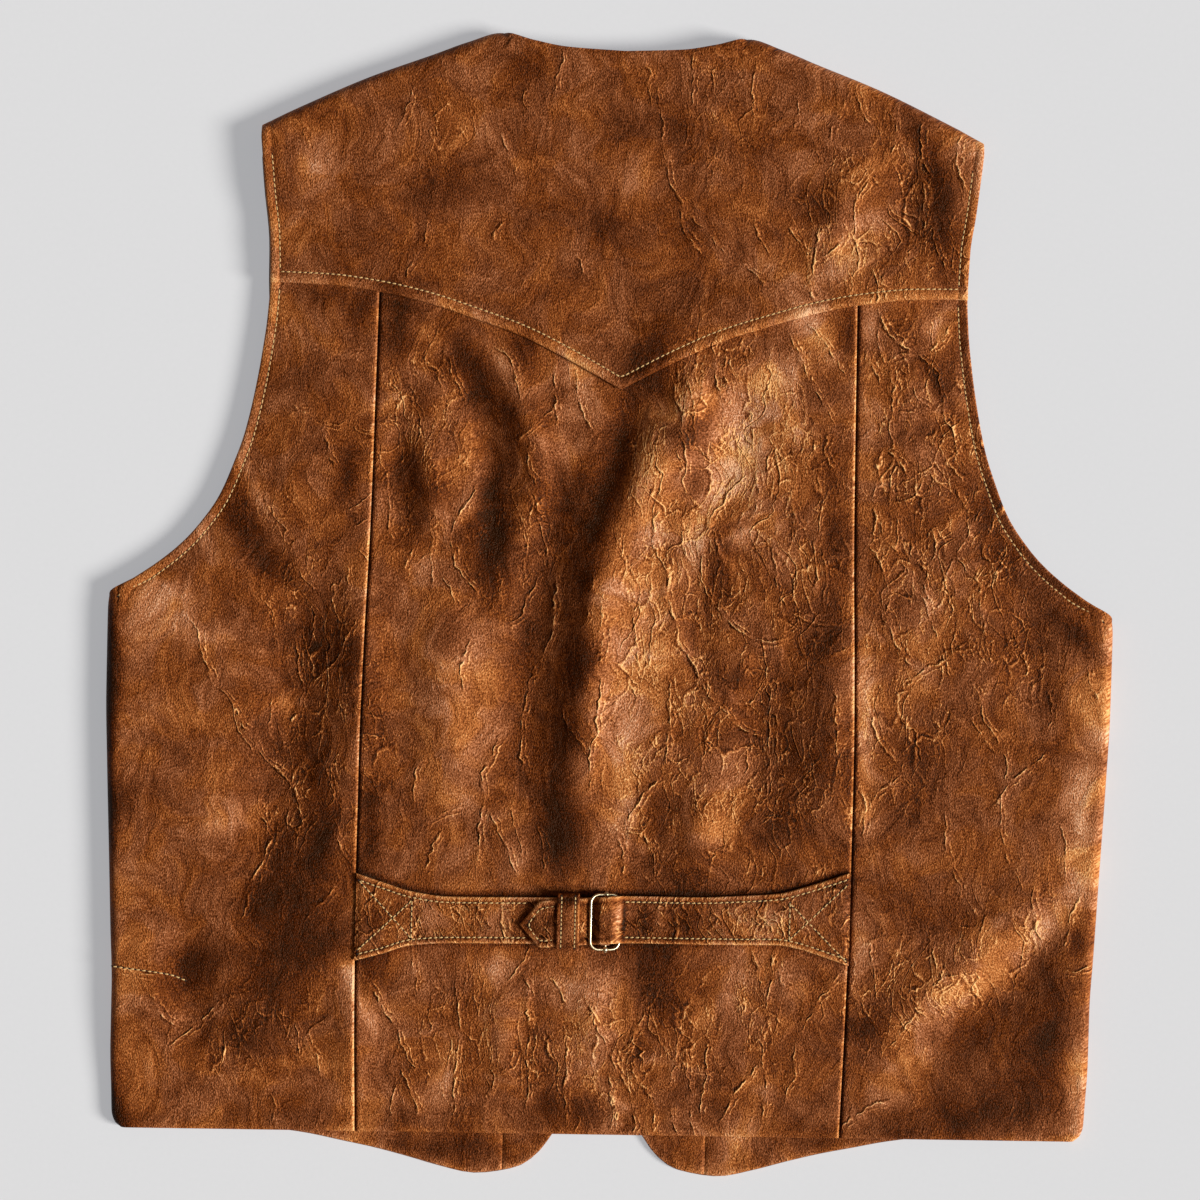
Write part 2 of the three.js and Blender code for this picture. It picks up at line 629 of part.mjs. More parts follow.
const leather = (color) => new THREE.MeshStandardMaterial({ color, roughness: 0.5, metalness: 0 });
const BACK_LEATHER = leather('#8c4b23');
const FRONT_LEATHER = leather('#7f4420');
const BELT_LEATHER = leather('#8a4a22');
const WIRE_METAL = new THREE.MeshStandardMaterial({ color: '#d9c9a0', roughness: 0.25, metalness: 1 });
const SNAP_METAL = new THREE.MeshStandardMaterial({ color: '#a08455', roughness: 0.35, metalness: 1 });
const LINING_CLOTH = new THREE.MeshStandardMaterial({ color: '#c9c7c2', roughness: 0.85, metalness: 0 });

// The garment

const vest = new THREE.Group();

function add(name, geometry, material, parent = vest) {
  const mesh = new THREE.Mesh(geometry, material);
  mesh.name = name;
  parent.add(mesh);
}

const back = new THREE.Group();
add('back_yoke', yokePiece(), BACK_LEATHER, back);
add('back_centre', centrePiece(), BACK_LEATHER, back);
add('back_side_left', sidePiece(-1), BACK_LEATHER, back);
add('back_side_right', sidePiece(1), BACK_LEATHER, back);
vest.add(back);

const fronts = new THREE.Group();
add('front_left', frontPiece(-1), FRONT_LEATHER, fronts);
add('front_right', frontPiece(1), FRONT_LEATHER, fronts);
add('front_facing_left', facingPiece(-1, 10, FACING_SEAM.left - 0.15, 8), FRONT_LEATHER, fronts);
add('front_facing_right', facingPiece(1, 10, FACING_SEAM.right - 0.15, 8), FRONT_LEATHER, fronts);
add('hem_facing_left', facingPiece(-1, FACING_SEAM.left + 0.15, 205, 16), FRONT_LEATHER, fronts);
add('hem_facing_right', facingPiece(1, FACING_SEAM.right + 0.15, 205, 16), FRONT_LEATHER, fronts);
add('armhole_lining_left', liningPiece(), LINING_CLOTH, fronts);
for (let i = 0; i < SNAP.count; i += 1) {
  add(`snap_${i + 1}`, snapPiece(SNAP.top - i * SNAP.pitch), SNAP_METAL, fronts);
}
vest.add(fronts);

const belt = new THREE.Group();
add('belt_left', beltLeftPiece(), BELT_LEATHER, belt);
add('belt_right', beltRightPiece(), BELT_LEATHER, belt);
add('belt_keeper', keeperPiece(), BELT_LEATHER, belt);
add('buckle_frame', buckleFramePiece(), WIRE_METAL, belt);
add('buckle_bar', buckleBarPiece(), WIRE_METAL, belt);
vest.add(belt);

export default vest;
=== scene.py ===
"""The looks of a leather vest that lies face down and flat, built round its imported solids.

Lengths are millimetres in the solids' own frame, until a mesh is made in metres.
"""

import math

import bpy
import mathutils
import numpy as np
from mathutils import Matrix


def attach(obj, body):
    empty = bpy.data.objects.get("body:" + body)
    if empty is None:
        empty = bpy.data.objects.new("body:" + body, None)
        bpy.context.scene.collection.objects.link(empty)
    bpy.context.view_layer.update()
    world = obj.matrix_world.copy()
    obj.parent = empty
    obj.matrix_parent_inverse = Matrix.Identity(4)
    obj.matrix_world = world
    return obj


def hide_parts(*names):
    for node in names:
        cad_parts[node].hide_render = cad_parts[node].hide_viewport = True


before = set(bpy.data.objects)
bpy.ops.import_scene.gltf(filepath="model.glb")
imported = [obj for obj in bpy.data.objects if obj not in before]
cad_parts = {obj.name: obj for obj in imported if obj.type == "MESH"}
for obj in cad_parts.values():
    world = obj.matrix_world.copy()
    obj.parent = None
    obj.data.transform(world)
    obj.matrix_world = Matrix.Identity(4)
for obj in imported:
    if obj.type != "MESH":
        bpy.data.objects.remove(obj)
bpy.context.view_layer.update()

MM = 0.001
KEY_FROM = (0.832, -0.207, 0.515)

# Driving dimensions, the same as the solids'

LEATHER = 1.8
FACING = 1.2
STRAP = 2.2
STRAP_END = 1.4
SEAM_GAP = 0.3
LAY_GAP = 0.3
LOOSE_GAP = 0.5
YOKE_GAP = 0.8
YOKE_LAP = 13

REST_HEIGHT = 13
SHOULDER_RISE = 3
HEM_DROP = 4.8
ARMHOLE_DROP = 3
LEAST_HEIGHT = 7.6
FOLD_FADE = 32

SIDE_FLAP = 9
SHOULDER_FLAP = 10
SHOULDER_ROLL = (REST_HEIGHT + SHOULDER_RISE) / 2

HEM_Y = -320.6
HEM_TILT = 0.011
NECK_POINT_X = 75
TIP_X = 219.4
TIP_Y = 286
YOKE_TIP_X = 2.5
SIDE_TOP = 203

PLACKET = 12
OUTER_LIFT = 1.5
INNER_LIFT = 3.6
FRONT_WIDE = 290
FRONT_TALL = 600
LINING_LOW = 186
LINING_HIGH = 268
LINING_WIDTH = 22

NECK_AND_SHOULDER = [  # x, y
    (0, 335.7), (35, 337.5), (55, 341), (75, 345.5), (95, 339.6), (115, 331.8),
    (155, 316.5), (195, 298), (TIP_X, TIP_Y),
]
ARMHOLE_AND_SIDE = [  # y, half width
    (HEM_Y, 289), (-317, 293), (-311, 294.9), (-300, 295.4), (-270, 296.6), (-240, 296.6),
    (-200, 298.4), (-160, 300.2), (-100, 303), (-60, 304.5), (-10, 304.8), (0, 304),
    (10, 288.7), (20, 274.5), (30, 262.7), (40, 253.3), (60, 239.4), (80, 231),
    (100, 224.3), (130, 218), (150, 214.9), (170, 212.5), (195, 211.2), (220, 212),
    (240, 214.6), (262, 217), (TIP_Y, TIP_X),
]
YOKE_EDGE = [  # distance from the yoke's point, y
    (0, 131), (36, 150.4), (61, 162), (91, 172.2), (118, 180.3), (145, 186), (178, 189.9),
    (220, 191),
]
PRINCESS_SEAM = [  # y, x
    (-321, 146.8), (-253, 148.4), (-158, 149.8), (-88, 149.6), (-31, 148.5), (48, 146.4),
    (146, 145.2), (205, 144.6),
]
FRONT_HEM = [  # x, y
    (-12, -262), (0, -281), (12, -300), (25, -318), (35, -332), (45, -340), (55, -343.2),
    (75, -345.5), (95, -341.5), (115, -336), (135, -331), (155, -327), (175, -323), (200, -320),
    (280, -318.5),
]
FRONT_NECKLINE = [  # x, y
    (-12, 66), (-9, 84), (4, 108), (25, 150), (44, 200), (60, 250), (74, 298),
]

# The folds that the solids have: rise, spread, start x, y, middle x, y, end x, y

FOLDS = [
    (5.5, 22, 50, 160, -4, 30, -12, -165),
    (4.5, 14, 54, 146, 36, 102, 6, 45),
    (2.5, 11, 8, 60, -12, -40, -12, -140),
    (-5, 17, -20, 110, -46, -15, -44, -155),
    (4.5, 18, -104, 25, -98, -55, -94, -140),
    (3, 12, 50, 160, 44, 115, 34, 60),
    (-3, 14, 82, 150, 74, 95, 60, 40),
    (-2.5, 12, 60, 35, 54, -7, 52, -55),
    (4, 18, 143, 10, 135, -75, 140, -150),
    (-3.5, 16, 98, -20, 94, -72, 92, -130),
    (3.5, 14, 60, -90, 58, -135, 52, -165),
    (-3, 14, 30, -125, 22, -175, 34, -235),
    (-2.5, 9, -131, 120, -130, 75, -127, 25),
    (3, 9, -113, 115, -111, 73, -104, 30),
    (-4, 11, -98, 160, -74, 80, -76, 5),
    (4, 11, -78, 165, -48, 92, -58, 20),
    (-5, 12, 14, 138, 3, 92, -18, 20),
    (4, 15, -146, 60, -151, -50, -153, -130),
    (-4.5, 20, -186, 30, -194, -85, -216, -195),
    (-2.5, 10, -238, 62, -213, 36, -196, 0),
    (3.5, 14, -289, -195, -288, -228, -285, -268),
    (-3.5, 16, -254, -185, -248, -233, -238, -285),
    (3.5, 18, 282, -140, 225, -205, 152, -265),
    (-4.5, 18, 292, -178, 240, -232, 180, -290),
    (-2.5, 16, 250, 25, 256, -20, 262, -75),
    (-3, 12, 172, 285, 175, 250, 178, 212),
    (2.5, 11, 203, 275, 205, 250, 203, 215),
    (3, 12, 152, 282, 132, 240, 124, 205),
    (3, 12, -150, -225, -150, -265, -146, -315),
    (2.5, 10, -60, -225, -58, -264, -55, -312),
    (2.5, 11, -8, -215, -6, -245, 2, -290),
]

BELT_Y = -191
BELT_REACH = 32
BELT_PRESS = 0.72
BELT_LEFT = [  # x, top y, bottom y
    (-149.5, -165.5, -218.4), (-133.5, -170.5, -213.9), (-116, -175.5, -208.3), (-94, -178, -206.4),
    (-45, -177.2, -205.4), (-30, -177, -205.2), (0, -176.6, -204.8), (10, -176.6, -204.8),
]
BELT_RIGHT = [  # x, top y, bottom y
    (-50.1, -193.8, -193.8), (-44, -186.4, -200.6), (-37, -179, -207.2), (-20, -177.6, -205.8),
    (10, -175, -203.6), (57, -174.6, -203.2), (82, -173.2, -202.9), (106, -171.2, -202.4),
    (117, -168.4, -204), (133, -163.2, -208.6), (149.5, -157.3, -214),
]
WIRE = 0.8
BUCKLE_LEFT = -7.2
BUCKLE_RIGHT = 10.4
BUCKLE_Y = -190.9
BUCKLE_HALF = 16.6
BUCKLE_CORNER = 5
BUCKLE_HIGH = 6.7
BUCKLE_SLOPE = (WIRE - BUCKLE_HIGH) / (BUCKLE_RIGHT - BUCKLE_LEFT)
BAR_X = 2
BAR_RISE = BUCKLE_HIGH + (BAR_X - BUCKLE_LEFT) * BUCKLE_SLOPE
LOOP_INNER = WIRE + LAY_GAP
LOOP_OUTER = LOOP_INNER + STRAP_END
OVER_LOOP = BAR_RISE + LOOP_OUTER + LAY_GAP
EYE = 1.75
KEEPER_LEFT = -27.6
KEEPER_RIGHT = -14.1
KEEPER_Y = -191.2
KEEPER_HALF = 17.3
KEEPER_WALL = 1.5
KEEPER_RISE = 4.4  # the upper strap's rise in the keeper, where it lies on the under strap
KEEPER_HEIGHT = KEEPER_RISE + STRAP + LAY_GAP + KEEPER_WALL
STRAP_RISE_LEFT = [  # x, height of the under strap's lower face over the belt's seat
    (-150, 0), (-48, 0), (-32, 1.8), (-11, 1.8), (-5, 0.7), (BAR_X, BAR_RISE - LOOP_OUTER),
]
STRAP_RISE_RIGHT = [  # x, height of the upper strap's lower face over the belt's seat
    (-50.1, 2.7), (-46, 2.7), (-32, KEEPER_RISE), (-12, KEEPER_RISE), (-7.2, 3.2), (-5.2, 3.25),
    (-1, OVER_LOOP), (4.9, OVER_LOOP), (8, 4.5), (11, 2.3), (13, 0.8), (15, 0.1), (22, 0), (150, 0),
]
STRAP_SEWN = 149.5  # where the straps end, at the princess seams
STRAP_BOX = 110  # where their sewn boxes begin
STRAP_CREASE_PITCH = 5.5  # the straps' slanting creases
ROLL_X = 3  # the middle of the roll over the bar, where the leather is pulled smooth

# Sewing

STITCH_PITCH = 3.4
YOKE_ROW = 6.5  # the rows' distances from their edges
ARMHOLE_ROW = 5.8
STRAP_ROW = 3.5
KEEPER_ROW = 2.6
STRAP_SINK = 0.35  # how deep the straps' rows are drawn in

# How fine the meshes are

PANEL_STEP = 1.45
FRONT_STEP = 3.2
EDGE_STEPS = [0, 0.25, 0.6, 1.0, 1.5, 2.2, 3.0, 3.9, 4.8, 5.4, 5.9, 6.5, 7.1, 7.8, 8.8, 10]
LIP_STEPS = [0, 0.2, 0.5, 0.9, 1.4, 2.1, 3]


# Small helpers

def smooth(value, start, end):
    t = np.clip((value - start) / (end - start), 0, 1)
    return t * t * (3 - 2 * t)


def lerp(a, b, t):
    return a + (b - a) * t


def bell(value, width):
    return np.exp(-((value / width) ** 2))


def through(table, column=1):
    """A smooth curve through a table's rows that never overshoots them."""
    xs = np.array([row[0] for row in table], float)
    ys = np.array([row[column] for row in table], float)
    slopes = np.diff(ys) / np.diff(xs)
    tangents = np.zeros(len(xs))
    tangents[0] = slopes[0]
    tangents[-1] = slopes[-1]
    for i in range(1, len(xs) - 1):
        product = slopes[i - 1] * slopes[i]
        if product > 0:
            tangents[i] = 2 * product / (slopes[i - 1] + slopes[i])

    def at(x):
        x = np.asarray(x, float)
        i = np.clip(np.searchsorted(xs, x) - 1, 0, len(xs) - 2)
        width = xs[i + 1] - xs[i]
        t = np.clip((x - xs[i]) / width, 0, 1)
        bend = t * (1 - t) * width * (tangents[i] * (1 - t) - tangents[i + 1] * t)
        return ys[i] + (ys[i + 1] - ys[i]) * t * t * (3 - 2 * t) + bend

    return at


def steps(start, end, step):
    return np.linspace(start, end, max(1, round(abs(end - start) / step)) + 1)


def length_along(points):
    """The way along a line at each of its points."""
    return np.concatenate([[0], np.cumsum(np.linalg.norm(np.diff(points, axis=0), axis=1))])


def noise(x, y, size, seed):
    """Smooth noise, about -1 to 1, in lumps of about this size."""
    cells = 64
    turn = np.random.default_rng(seed).uniform(0, 2 * np.pi, (cells, cells))
    u = x / size
    v = y / size
    i = np.floor(u).astype(int)
    j = np.floor(v).astype(int)
    fu = u - i
    fv = v - j
    su = fu * fu * fu * (fu * (fu * 6 - 15) + 10)
    sv = fv * fv * fv * (fv * (fv * 6 - 15) + 10)

    def corner(di, dj):
        angle = turn[(i + di) % cells, (j + dj) % cells]
        return np.cos(angle) * (fu - di) + np.sin(angle) * (fv - dj)

    low = lerp(corner(0, 0), corner(1, 0), su)
    high = lerp(corner(0, 1), corner(1, 1), su)
    return 1.5 * lerp(low, high, sv)


def near_line(x, y, ends):
    """Each point's distance from a bent line, its place along it, 0 to 1, and its side of it.

    The side is above zero where the light comes from.
    """
    x0, y0, xm, ym, x2, y2 = ends
    lit = math.copysign(1, (y0 - y2) * KEY_FROM[0] + (x2 - x0) * KEY_FROM[1])
    x1 = 2 * xm - (x0 + x2) / 2
    y1 = 2 * ym - (y0 + y2) / 2
    pieces = 8
    t = np.linspace(0, 1, pieces + 1)
    bx = (1 - t) ** 2 * x0 + 2 * t * (1 - t) * x1 + t * t * x2
    by = (1 - t) ** 2 * y0 + 2 * t * (1 - t) * y1 + t * t * y2
    nearest = np.full(x.shape, np.inf)
    place = np.zeros(x.shape)
    side = np.zeros(x.shape)
    for k in range(pieces):
        ex = bx[k + 1] - bx[k]
        ey = by[k + 1] - by[k]
        along = np.clip(((x - bx[k]) * ex + (y - by[k]) * ey) / (ex * ex + ey * ey), 0, 1)
        off_x = x - bx[k] - along * ex
        off_y = y - by[k] - along * ey
        distance = np.hypot(off_x, off_y)
        closer = distance < nearest
        nearest = np.where(closer, distance, nearest)
        place = np.where(closer, (k + along) / pieces, place)
        side = np.where(closer, lit * (off_x * (y0 - y2) + off_y * (x2 - x0)), side)
    return nearest, place, side


def near_box(x, y, ends, pad):
    """Which points are within this distance of the box round a line's three points."""
    wide = (x > min(ends[::2]) - pad) & (x < max(ends[::2]) + pad)
    return wide & (y > min(ends[1::2]) - pad) & (y < max(ends[1::2]) + pad)


def ridges(table, x, y, reach=3):
    """The summed height of a table's ridges and troughs, each fading out at its ends."""
    total = np.zeros(np.shape(x))
    for rise, width, *ends in table:
        inside = near_box(x, y, ends, reach * width)
        if not inside.any():
            continue
        nearest, place, _ = near_line(x[inside], y[inside], ends)
        taper = smooth(place, 0, 0.35) * (1 - smooth(place, 0.65, 1))
        total[inside] += rise * bell(nearest, width) * taper
    return total


def patches(table, x, y):
    """The sum of soft ovals: x, y, half length, half width, turn in degrees, amount."""
    total = np.zeros(np.shape(x))
    for px, py, length, width, turn, amount in table:
        c = math.cos(math.radians(turn))
        s = math.sin(math.radians(turn))
        along = ((x - px) * c + (y - py) * s) / length
        across = ((y - py) * c - (x - px) * s) / width
        total += amount * np.exp(-(along ** 2 + across ** 2))
    return total


# The garment's outlines and heights, as in the solids

top_outline = through(NECK_AND_SHOULDER)
half_width = through(ARMHOLE_AND_SIDE)
yoke_curve = through(YOKE_EDGE)
seam_x = through(PRINCESS_SEAM)
front_hem = through(FRONT_HEM)


def yoke_edge(x):
    return yoke_curve(np.abs(x - YOKE_TIP_X))


def hem_tilt(x, y):
    return HEM_TILT * x * (1 - smooth(y, HEM_Y, HEM_Y + 90))


def back_height(x, y):
    in_from_side = half_width(y) - np.abs(x)
    armhole = smooth(y, 0, 40) * (1 - smooth(y, 190, 250))
    base = REST_HEIGHT + SHOULDER_RISE * smooth(y, 200, 265) - HEM_DROP * smooth(-y, 235, 318)
    base = base - ARMHOLE_DROP * armhole * (1 - smooth(in_from_side, 0, 45))
    pressed = BELT_PRESS * bell(y - BELT_Y, BELT_REACH)
    fade = smooth(in_from_side, 8, 8 + FOLD_FADE)
    fade = fade * smooth(top_outline(np.abs(x)) - y, 10, 10 + FOLD_FADE)
    fade = fade * lerp(0.4, 1, smooth(y - HEM_Y, 0, FOLD_FADE))
    fade = fade * (1 - pressed * (1 - smooth(np.abs(x), 145, 185)))
    return np.maximum(np.minimum(base, LEAST_HEIGHT), base + fade * ridges(FOLDS, x, y))


def yoke_height(x, y):
    over = 1 - smooth(y - yoke_edge(x) - YOKE_LAP, 4, 30)
    return back_height(x, y) + (YOKE_GAP + LEATHER) * over


def side_stretch(y):
    """How much wider a band along the side's edge measures across than square to the edge."""
    reach = 5
    slope = (half_width(y + reach) - half_width(y - reach)) / (2 * reach)
    return np.sqrt(1 + slope ** 2)


def roll_over(length, radius, last_z):
    """How a panel goes on round an edge: how far out and how high its outer and inner faces are.

    length is the way along the panel from its flat part, and last_z the height there.
    """
    arc = math.pi * radius
    angle = np.minimum(length / radius, math.pi)
    beyond = np.maximum(0, length - arc)
    settle = (last_z - 2 * radius) * np.clip(1 - length / arc, 0, 1)
    faces = []
    for size in (radius, radius - LEATHER):
        faces.append((size * np.sin(angle) - beyond, radius + size * np.cos(angle) + settle))
    return faces


def edge_stretch(x):
    reach = 3
    away = np.maximum(np.abs(x - YOKE_TIP_X), reach)
    slope = (yoke_curve(away + reach) - yoke_curve(away - reach)) / (2 * reach)
    return np.sqrt(1 + slope ** 2)


# Creases that the solids leave out: rise, width, start x, y, middle x, y, end x, y

CREASES = [
    (1.4, 1.6, 33, 138, 41, 108, 44, 62), (0.9, 1.5, 44, 62, 42, 44, 46, 28),
    (1.4, 1.6, 84, 84, 66, 66, 55, 40), (1.5, 1.6, 55, 42, 55, 18, 64, 2),
    (1.5, 1.6, 62, 4, 74, -10, 88, -18), (1.1, 1.4, 86, -17, 100, -19, 112, -14),
    (1.2, 1.4, 28, 61, 26, 40, 35, 20), (1.5, 1.6, 35, 26, 35, 4, 42, -18),
    (1.4, 1.6, 40, -14, 52, -38, 66, -58), (1.3, 1.5, 64, -56, 82, -72, 97, -79),
    (1.3, 1.4, 36, -38, 38, -70, 36, -102), (1.3, 1.5, 98, -40, 98, -75, 97, -118),
    (1.0, 1.4, 103, -38, 102, -62, 104, -100), (1.2, 1.5, 126, 62, 123, 35, 125, 2),
    (0.9, 1.3, 129, 42, 129, 20, 129, 0), (1.1, 1.4, 99, 42, 100, 18, 107, 0),
    (0.9, 1.3, 107, 0, 122, -6, 138, -8), (1.0, 1.4, 136, -42, 138, -66, 139, -100),
    (0.9, 1.3, 50, -50, 62, -72, 53, -98), (1.3, 1.6, -4, -38, -7, -72, -11, -118),
    (1.3, 1.5, 103, 172, 118, 140, 133, 112), (1.1, 1.4, 133, 112, 127, 98, 134, 84),
    (1.2, 1.5, 112, 176, 128, 158, 140, 140), (1.1, 1.3, 97, 99, 93, 90, 90, 80),
    (1.1, 1.4, 98, 98, 106, 88, 108, 82), (1.2, 1.5, 60, 165, 60, 142, 70, 120),
    (1.0, 1.3, 66, 160, 66, 140, 72, 120), (0.9, 1.3, 42, 142, 46, 125, 50, 100),
    (1.0, 1.3, 78, 124, 83, 110, 83, 94), (0.9, 1.3, 121, 104, 124, 86, 125, 64),
    (0.8, 1.3, 104, 70, 112, 52, 114, 30), (1.4, 1.5, 12, -136, 20, -118, 35, -103),
    (1.6, 1.6, 10, -134, 26, -141, 31, -146), (1.4, 1.5, 31, -146, 31, -156, 29, -166),
    (1.0, 1.3, 8, -132, 11, -148, 12, -165), (0.9, 1.3, 48, -100, 56, -120, 58, -135),
    (0.9, 1.4, 17, 5, 15, -16, 19, -40), (0.8, 1.3, 24, 22, 26, -10, 24, -40),
    (1.0, 1.3, 60, 52, 66, 34, 66, 16), (1.0, 1.3, 84, 86, 87, 70, 82, 52),
    (1.0, 1.4, -104, 158, -99, 138, -90, 120), (1.0, 1.4, -76, 158, -62, 140, -58, 118),
    (1.4, 1.5, -52, 98, -51, 84, -46, 70), (1.0, 1.4, -48, 72, -43, 46, -35, 18),
    (1.3, 1.5, -35, 22, -34, -8, -42, -38), (1.3, 1.5, -42, -36, -50, -62, -50, -112),
    (1.2, 1.5, -44, 18, -52, -2, -60, -12), (1.3, 1.6, -82, 74, -92, 54, -98, 40),
    (1.3, 1.5, -98, 40, -92, 20, -80, 6), (1.0, 1.4, -104, 16, -96, 6, -92, -8),
    (1.1, 1.4, -80, -20, -89, -36, -86, -58), (1.5, 1.6, -62, -78, -72, -98, -74, -120),
    (1.5, 1.6, -74, -118, -75, -140, -77, -165), (1.1, 1.4, -70, -124, -62, -144, -50, -165),
    (0.8, 1.3, -60, -113, -54, -135, -48, -160), (1.1, 1.4, -40, -132, -37, -150, -36, -168),
    (1.0, 1.4, -30, -60, -20, -78, -8, -92), (1.1, 1.4, -110, -92, -115, -106, -116, -126),
    (1.0, 1.4, -98, -138, -104, -150, -110, -168), (1.0, 1.4, -86, -124, -98, -128, -112, -138),
    (1.1, 1.4, -120, 38, -123, 26, -124, 12), (0.8, 1.2, -109, 44, -109, 22, -108, 0),
    (0.9, 1.3, -135, 66, -135, 48, -133, 34), (1.0, 1.3, -37, 148, -38, 126, -34, 108),
    (1.1, 1.4, -26, 142, -20, 120, -12, 102), (1.0, 1.3, -60, 98, -48, 108, -36, 122),
    (1.0, 1.4, -10, 22, -12, 4, -18, -16), (0.9, 1.3, -6, 4, -5, -18, -4, -40),
    (1.1, 1.4, 164, 2, 173, -16, 186, -36), (1.0, 1.3, 186, 12, 194, -4, 199, -22),
    (1.2, 1.5, 178, -46, 198, -30, 224, -18), (1.3, 1.4, 220, -38, 228, -60, 240, -80),
    (1.2, 1.4, 239, -78, 243, -92, 242, -102), (1.3, 1.5, 270, -78, 250, -96, 232, -118),
    (0.9, 1.3, 241, -102, 239, -122, 244, -142), (0.9, 1.3, 220, -58, 226, -72, 238, -84),
    (0.9, 1.3, 159, -58, 165, -76, 176, -92), (1.0, 1.3, 181, -50, 180, -74, 177, -100),
    (1.2, 1.4, 178, -98, 168, -106, 158, -120), (0.9, 1.3, 153, -100, 157, -120, 157, -142),
    (1.0, 1.3, 204, -118, 207, -134, 205, -150), (0.9, 1.3, 206, -144, 213, -158, 216, -172),
    (0.9, 1.4, 274, -122, 279, -140, 279, -160), (1.1, 1.4, 291, -162, 283, -182, 280, -208),
    (1.3, 1.6, 280, -212, 289, -214, 297, -208), (1.0, 1.4, 262, -160, 261, -178, 268, -200),
    (0.9, 1.3, 240, -140, 247, -152, 254, -168), (0.8, 1.3, 234, -178, 228, -194, 227, -212),
    (1.0, 1.5, 200, -196, 203, -210, 206, -222), (1.0, 1.5, 218, -216, 202, -222, 192, -236),
    (1.0, 1.4, 164, -192, 164, -214, 168, -236), (1.2, 1.5, 179, -224, 187, -236, 198, -243),
    (1.2, 1.5, 192, -242, 184, -252, 173, -264), (0.8, 1.5, 252, -284, 252, -296, 248, -310),
    (1.0, 2.5, 146, -316, 160, -302, 182, -292), (0.9, 1.3, 266, -42, 269, -56, 264, -70),
    (0.9, 1.3, 243, -8, 250, -22, 254, -40), (0.8, 1.3, 290, -28, 293, -42, 298, -54),
    (0.8, 1.3, 214, 8, 208, -12, 210, -32), (0.9, 1.3, 228, 10, 226, -6, 232, -24),
    (1.3, 1.5, 156, 186, 164, 170, 182, 156), (1.5, 1.6, 180, 158, 192, 148, 197, 132),
    (1.4, 1.5, 196, 138, 201, 118, 209, 100), (1.0, 1.3, 207, 104, 210, 92, 216, 86),
    (0.9, 1.3, 158, 176, 158, 160, 163, 150), (1.1, 1.4, 163, 151, 168, 138, 166, 118),
    (1.0, 1.3, 166, 120, 166, 108, 170, 98), (1.0, 1.3, 163, 150, 170, 156, 182, 156),
    (1.0, 1.3, 149, 160, 155, 148, 160, 138), (1.1, 1.3, 202, 176, 196, 166, 189, 159),
    (0.9, 1.3, 179, 138, 184, 130, 191, 126), (1.1, 1.3, 163, 99, 172, 93, 178, 82),
    (1.1, 1.4, 174, 92, 167, 80, 168, 66), (1.1, 1.3, 168, 66, 182, 71, 187, 82),
    (0.8, 1.3, 185, 88, 194, 82, 204, 76), (1.0, 1.3, 160, 98, 160, 84, 157, 66),
    (1.1, 1.3, 157, 66, 158, 50, 155, 40), (1.2, 1.4, 155, 42, 160, 32, 166, 22),
    (1.0, 1.3, 164, 24, 168, 12, 165, -2), (0.9, 1.3, 171, 60, 173, 48, 168, 36),
    (0.9, 1.3, 163, 58, 165, 46, 174, 36), (1.2, 1.4, 192, 54, 196, 42, 190, 28),
    (1.1, 1.4, 190, 28, 190, 14, 194, 4), (1.0, 1.3, 181, 46, 183, 34, 190, 26),
    (1.0, 1.3, 180, 20, 187, 10, 194, 0), (1.3, 1.4, 223, 66, 215, 50, 208, 36),
    (1.1, 1.4, 208, 36, 203, 24, 200, 8), (1.2, 1.4, 208, 36, 217, 27, 221, 18),
    (1.0, 1.3, 221, 20, 225, 8, 224, -6), (1.0, 1.3, 240, 38, 232, 28, 222, 22),
    (1.1, 1.3, 222, 46, 230, 30, 236, 14), (1.0, 1.3, 201, 96, 208, 86, 214, 78),
    (0.9, 1.3, 210, 78, 211, 68, 219, 60), (0.7, 1.3, 252, 20, 249, 8, 246, -2),
    (1.2, 1.6, -256, -12, -245, -34, -238, -56), (1.3, 1.6, -238, -54, -226, -66, -214, -88),
    (1.3, 1.6, -216, -84, -202, -102, -188, -114), (1.0, 1.4, -190, -112, -186, -122, -184, -134),
    (1.0, 1.4, -227, -60, -224, -78, -210, -98), (1.2, 1.6, -188, -18, -189, -40, -184, -58),
    (1.4, 1.6, -184, -56, -188, -70, -195, -82), (1.2, 1.6, -152, -8, -164, -34, -184, -56),
    (0.8, 1.4, -201, -58, -205, -70, -203, -84), (1.2, 1.6, -212, -118, -207, -134, -202, -146),
    (1.5, 1.7, -202, -142, -206, -160, -214, -172), (1.0, 1.5, -214, -172, -214, -186, -218, -196),
    (0.9, 1.4, -189, -116, -192, -130, -190, -146), (0.8, 1.4, -298, -225, -280, -229, -262, -231),
    (1.2, 1.6, -226, -242, -244, -260, -264, -276), (0.9, 1.5, -274, -240, -266, -252, -254, -262),
    (1.0, 1.4, -184, -254, -182, -268, -180, -284), (0.9, 1.4, -178, -262, -172, -276, -168, -290),
    (1.0, 1.8, -198, -300, -195, -310, -200, -319), (0.9, 1.4, -166, -138, -158, -152, -152, -162),
    (0.8, 1.4, -172, -96, -166, -112, -168, -128), (0.9, 1.5, -182, -196, -170, -184, -160, -172),
    (0.7, 1.4, -214, -206, -209, -214, -216, -222), (1.1, 1.5, -180, 112, -170, 104, -162, 108),
    (0.9, 1.4, -158, 105, -152, 100, -145, 100), (1.0, 1.6, -177, 104, -173, 90, -168, 78),
    (0.9, 1.3, -197, 118, -190, 113, -182, 112), (0.8, 1.4, -146, 66, -154, 58, -160, 54),
    (0.9, 1.4, -146, 50, -154, 46, -160, 44), (0.9, 1.4, -156, 34, -151, 28, -147, 24),
